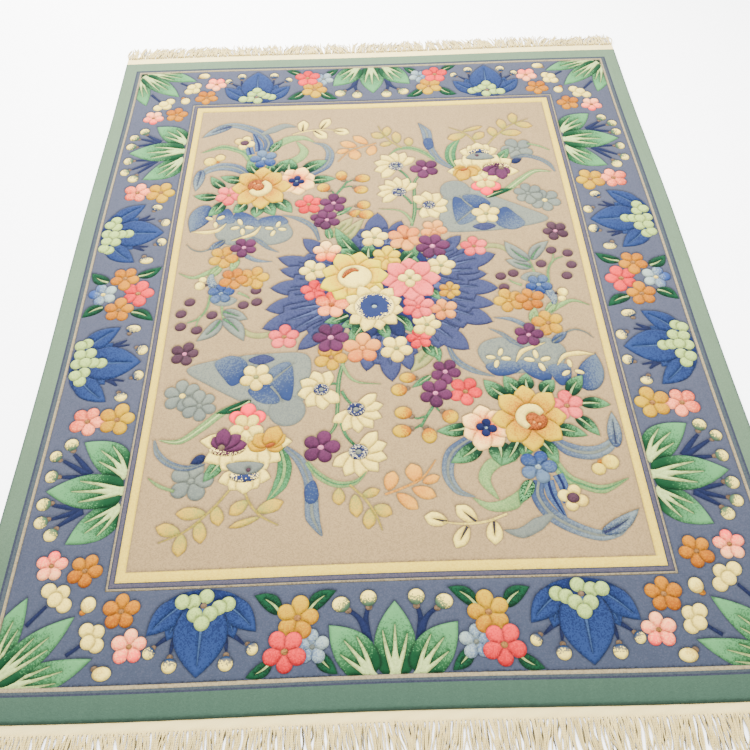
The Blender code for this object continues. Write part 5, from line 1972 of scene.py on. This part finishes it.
    def _tube(self, sheet: bmesh.types.BMesh, spine: list[Vector], radius: float, taper: float, darkening: float
              ) -> None:
        """Add a closed round tube along a middle line.

        Args:
            sheet: The mesh that it joins, whose UV map gets turns round the tube and metres along it.
            spine: The middle line.
            radius: The radius at the start.
            taper: The radius at the end, as a share of that.
            darkening: How dark the thread is, from 0 to 1.
        """
        uv = sheet.loops.layers.uv["UVMap"]
        darkness = sheet.loops.layers.float["darkening"]
        rings = []
        reach = 0.0
        marks = []
        for number, point in enumerate(spine):
            before = spine[max(0, number - 1)]
            after = spine[min(len(spine) - 1, number + 1)]
            tangent = (after - before).normalized()
            side = tangent.cross(Vector((0.0, 0.0, 1.0))).normalized()
            up = side.cross(tangent)
            share = number / (len(spine) - 1)
            width = radius * (1 - (1 - taper) * share ** 3)
            ring = []
            for corner in range(self.sides):
                angle = 2 * math.pi * corner / self.sides
                ring.append(sheet.verts.new(point + width * (math.cos(angle) * side + math.sin(angle) * up)))
            reach += (point - spine[number - 1]).length if number else 0.0
            marks.append(reach)
            rings.append(ring)
        for number in range(len(rings) - 1):
            for corner in range(self.sides):
                ahead = (corner + 1) % self.sides
                face = sheet.faces.new((rings[number][corner], rings[number][ahead],
                                        rings[number + 1][ahead], rings[number + 1][corner]))
                turns = (corner / self.sides, (corner + 1) / self.sides)
                values = ((turns[0], marks[number]), (turns[1], marks[number]),
                          (turns[1], marks[number + 1]), (turns[0], marks[number + 1]))
                for loop, value in zip(face.loops, values):
                    loop[uv].uv = value
                    loop[darkness] = darkening
        sheet.faces.new(rings[0][::-1])
        sheet.faces.new(rings[-1])


WEB_COTTON = CottonWeave("web_cotton", (255, 251, 228), (246, 238, 200), 0.0030, 0.0061)
THREAD_COTTON = CottonThread()


@dataclass
class Studio:
    """The pale floor, the soft light and the camera at the photograph's viewing angle."""

    lens: float = 36.29
    place: tuple[float, float, float] = (-0.032, -1.946, 2.1995)
    turn: tuple[float, float, float] = (34.9, 1.01, -1.55)
    overhead_power: float = 880.0
    far_power: float = 830.0
    room_strength: float = 2.26
    floor_grey: float = 0.95

    def build(self) -> None:
        """Add everything that isn't the rug."""
        self._floor()
        self._camera()
        self._light("overhead_panel", (0.0, 0.7, 3.4), (0.0, 0.0, 0.0), 3.0, self.overhead_power)
        tilt = (math.radians(-55), math.radians(-12), 0.0)
        self._light("far_panel", (-1.6, 4.2, 2.8), tilt, 2.2, self.far_power)
        world = bpy.data.worlds.new("soft_room")
        world.use_nodes = True
        background = world.node_tree.nodes["Background"]
        background.inputs["Color"].default_value = (1.0, 1.0, 1.0, 1.0)
        background.inputs["Strength"].default_value = self.room_strength
        bpy.context.scene.world = world

    def _floor(self) -> None:
        """Add the plain pale floor."""
        bpy.ops.object.select_all(action="DESELECT")
        bpy.ops.mesh.primitive_plane_add(size=24.0, location=(0.0, 0.0, -0.0004))
        floor = active_piece("floor")
        graph = Graph("pale_floor")
        graph.shader.inputs["Base Color"].default_value = (*[self.floor_grey] * 3, 1.0)
        graph.shader.inputs["Roughness"].default_value = 0.8
        floor.data.materials.append(graph.material)

    def _camera(self) -> None:
        """Add the camera."""
        camera = bpy.data.cameras.new("photo_view")
        camera.lens = self.lens
        camera.sensor_width = 36.0
        seat = bpy.data.objects.new("photo_view", camera)
        seat.location = self.place
        seat.rotation_euler = [math.radians(angle) for angle in self.turn]
        bpy.context.scene.collection.objects.link(seat)
        bpy.context.scene.camera = seat

    @staticmethod
    def _light(name: str, place: tuple[float, float, float], turn: tuple[float, float, float], size: float,
               power: float) -> None:
        """Add one soft panel."""
        lamp = bpy.data.lights.new(name, "AREA")
        lamp.size = size
        lamp.energy = power
        holder = bpy.data.objects.new(name, lamp)
        holder.location = place
        holder.rotation_euler = turn
        bpy.context.scene.collection.objects.link(holder)


def pattern() -> list[Patch]:
    """Return every patch of the rug's pattern, the lowest first."""
    field_half = right_field() + left_field() + right_bouquet() + left_bouquet()
    inner, outer = GROUNDS[FIELD_RING], GROUNDS[BORDER_RING]
    field = ((-inner.half_x, -inner.half_y), (inner.half_x, inner.half_y))
    end = ((-outer.half_x, -outer.half_y), (outer.half_x, -inner.half_y))
    side = ((inner.half_x, -outer.half_y), (outer.half_x, outer.half_y))
    placed = [
        (kept_inside(field_half, *field), (Placing(), HALF_TURN)),
        (kept_inside(medallion(), *field), (Placing(),)),
        (kept_inside(end_middle(), *end), ENDS),
        (kept_inside(side_middle(), *side), SIDES),
        (kept_inside(end_border(), *end) + kept_inside(side_border(), *side), QUARTERS),
    ]
    return [patch.placed(placing) for patches, placings in placed for placing in placings
            for patch in patches]


def main() -> None:
    """Build the rug round the frame."""
    logging.basicConfig(level=logging.INFO, format="%(name)s: %(message)s")
    Studio().build()
    patches = pattern()
    LOG.info("pattern: %d patches", len(patches))
    face = PileFace(patches)
    face.build()
    pile = CarvedPile(face, WoolPile()).build()
    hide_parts("carved_pile")
    foundation = Foundation().build()
    far_end = FringedEnd("far", "fringe_far", 1, 11, unrest=0.30, web_width=0.050, length=0.086)
    near_end = FringedEnd("near", "fringe_near", -1, 23)
    fringes = far_end.build() + near_end.build()


if __name__ == "__main__":
    main()
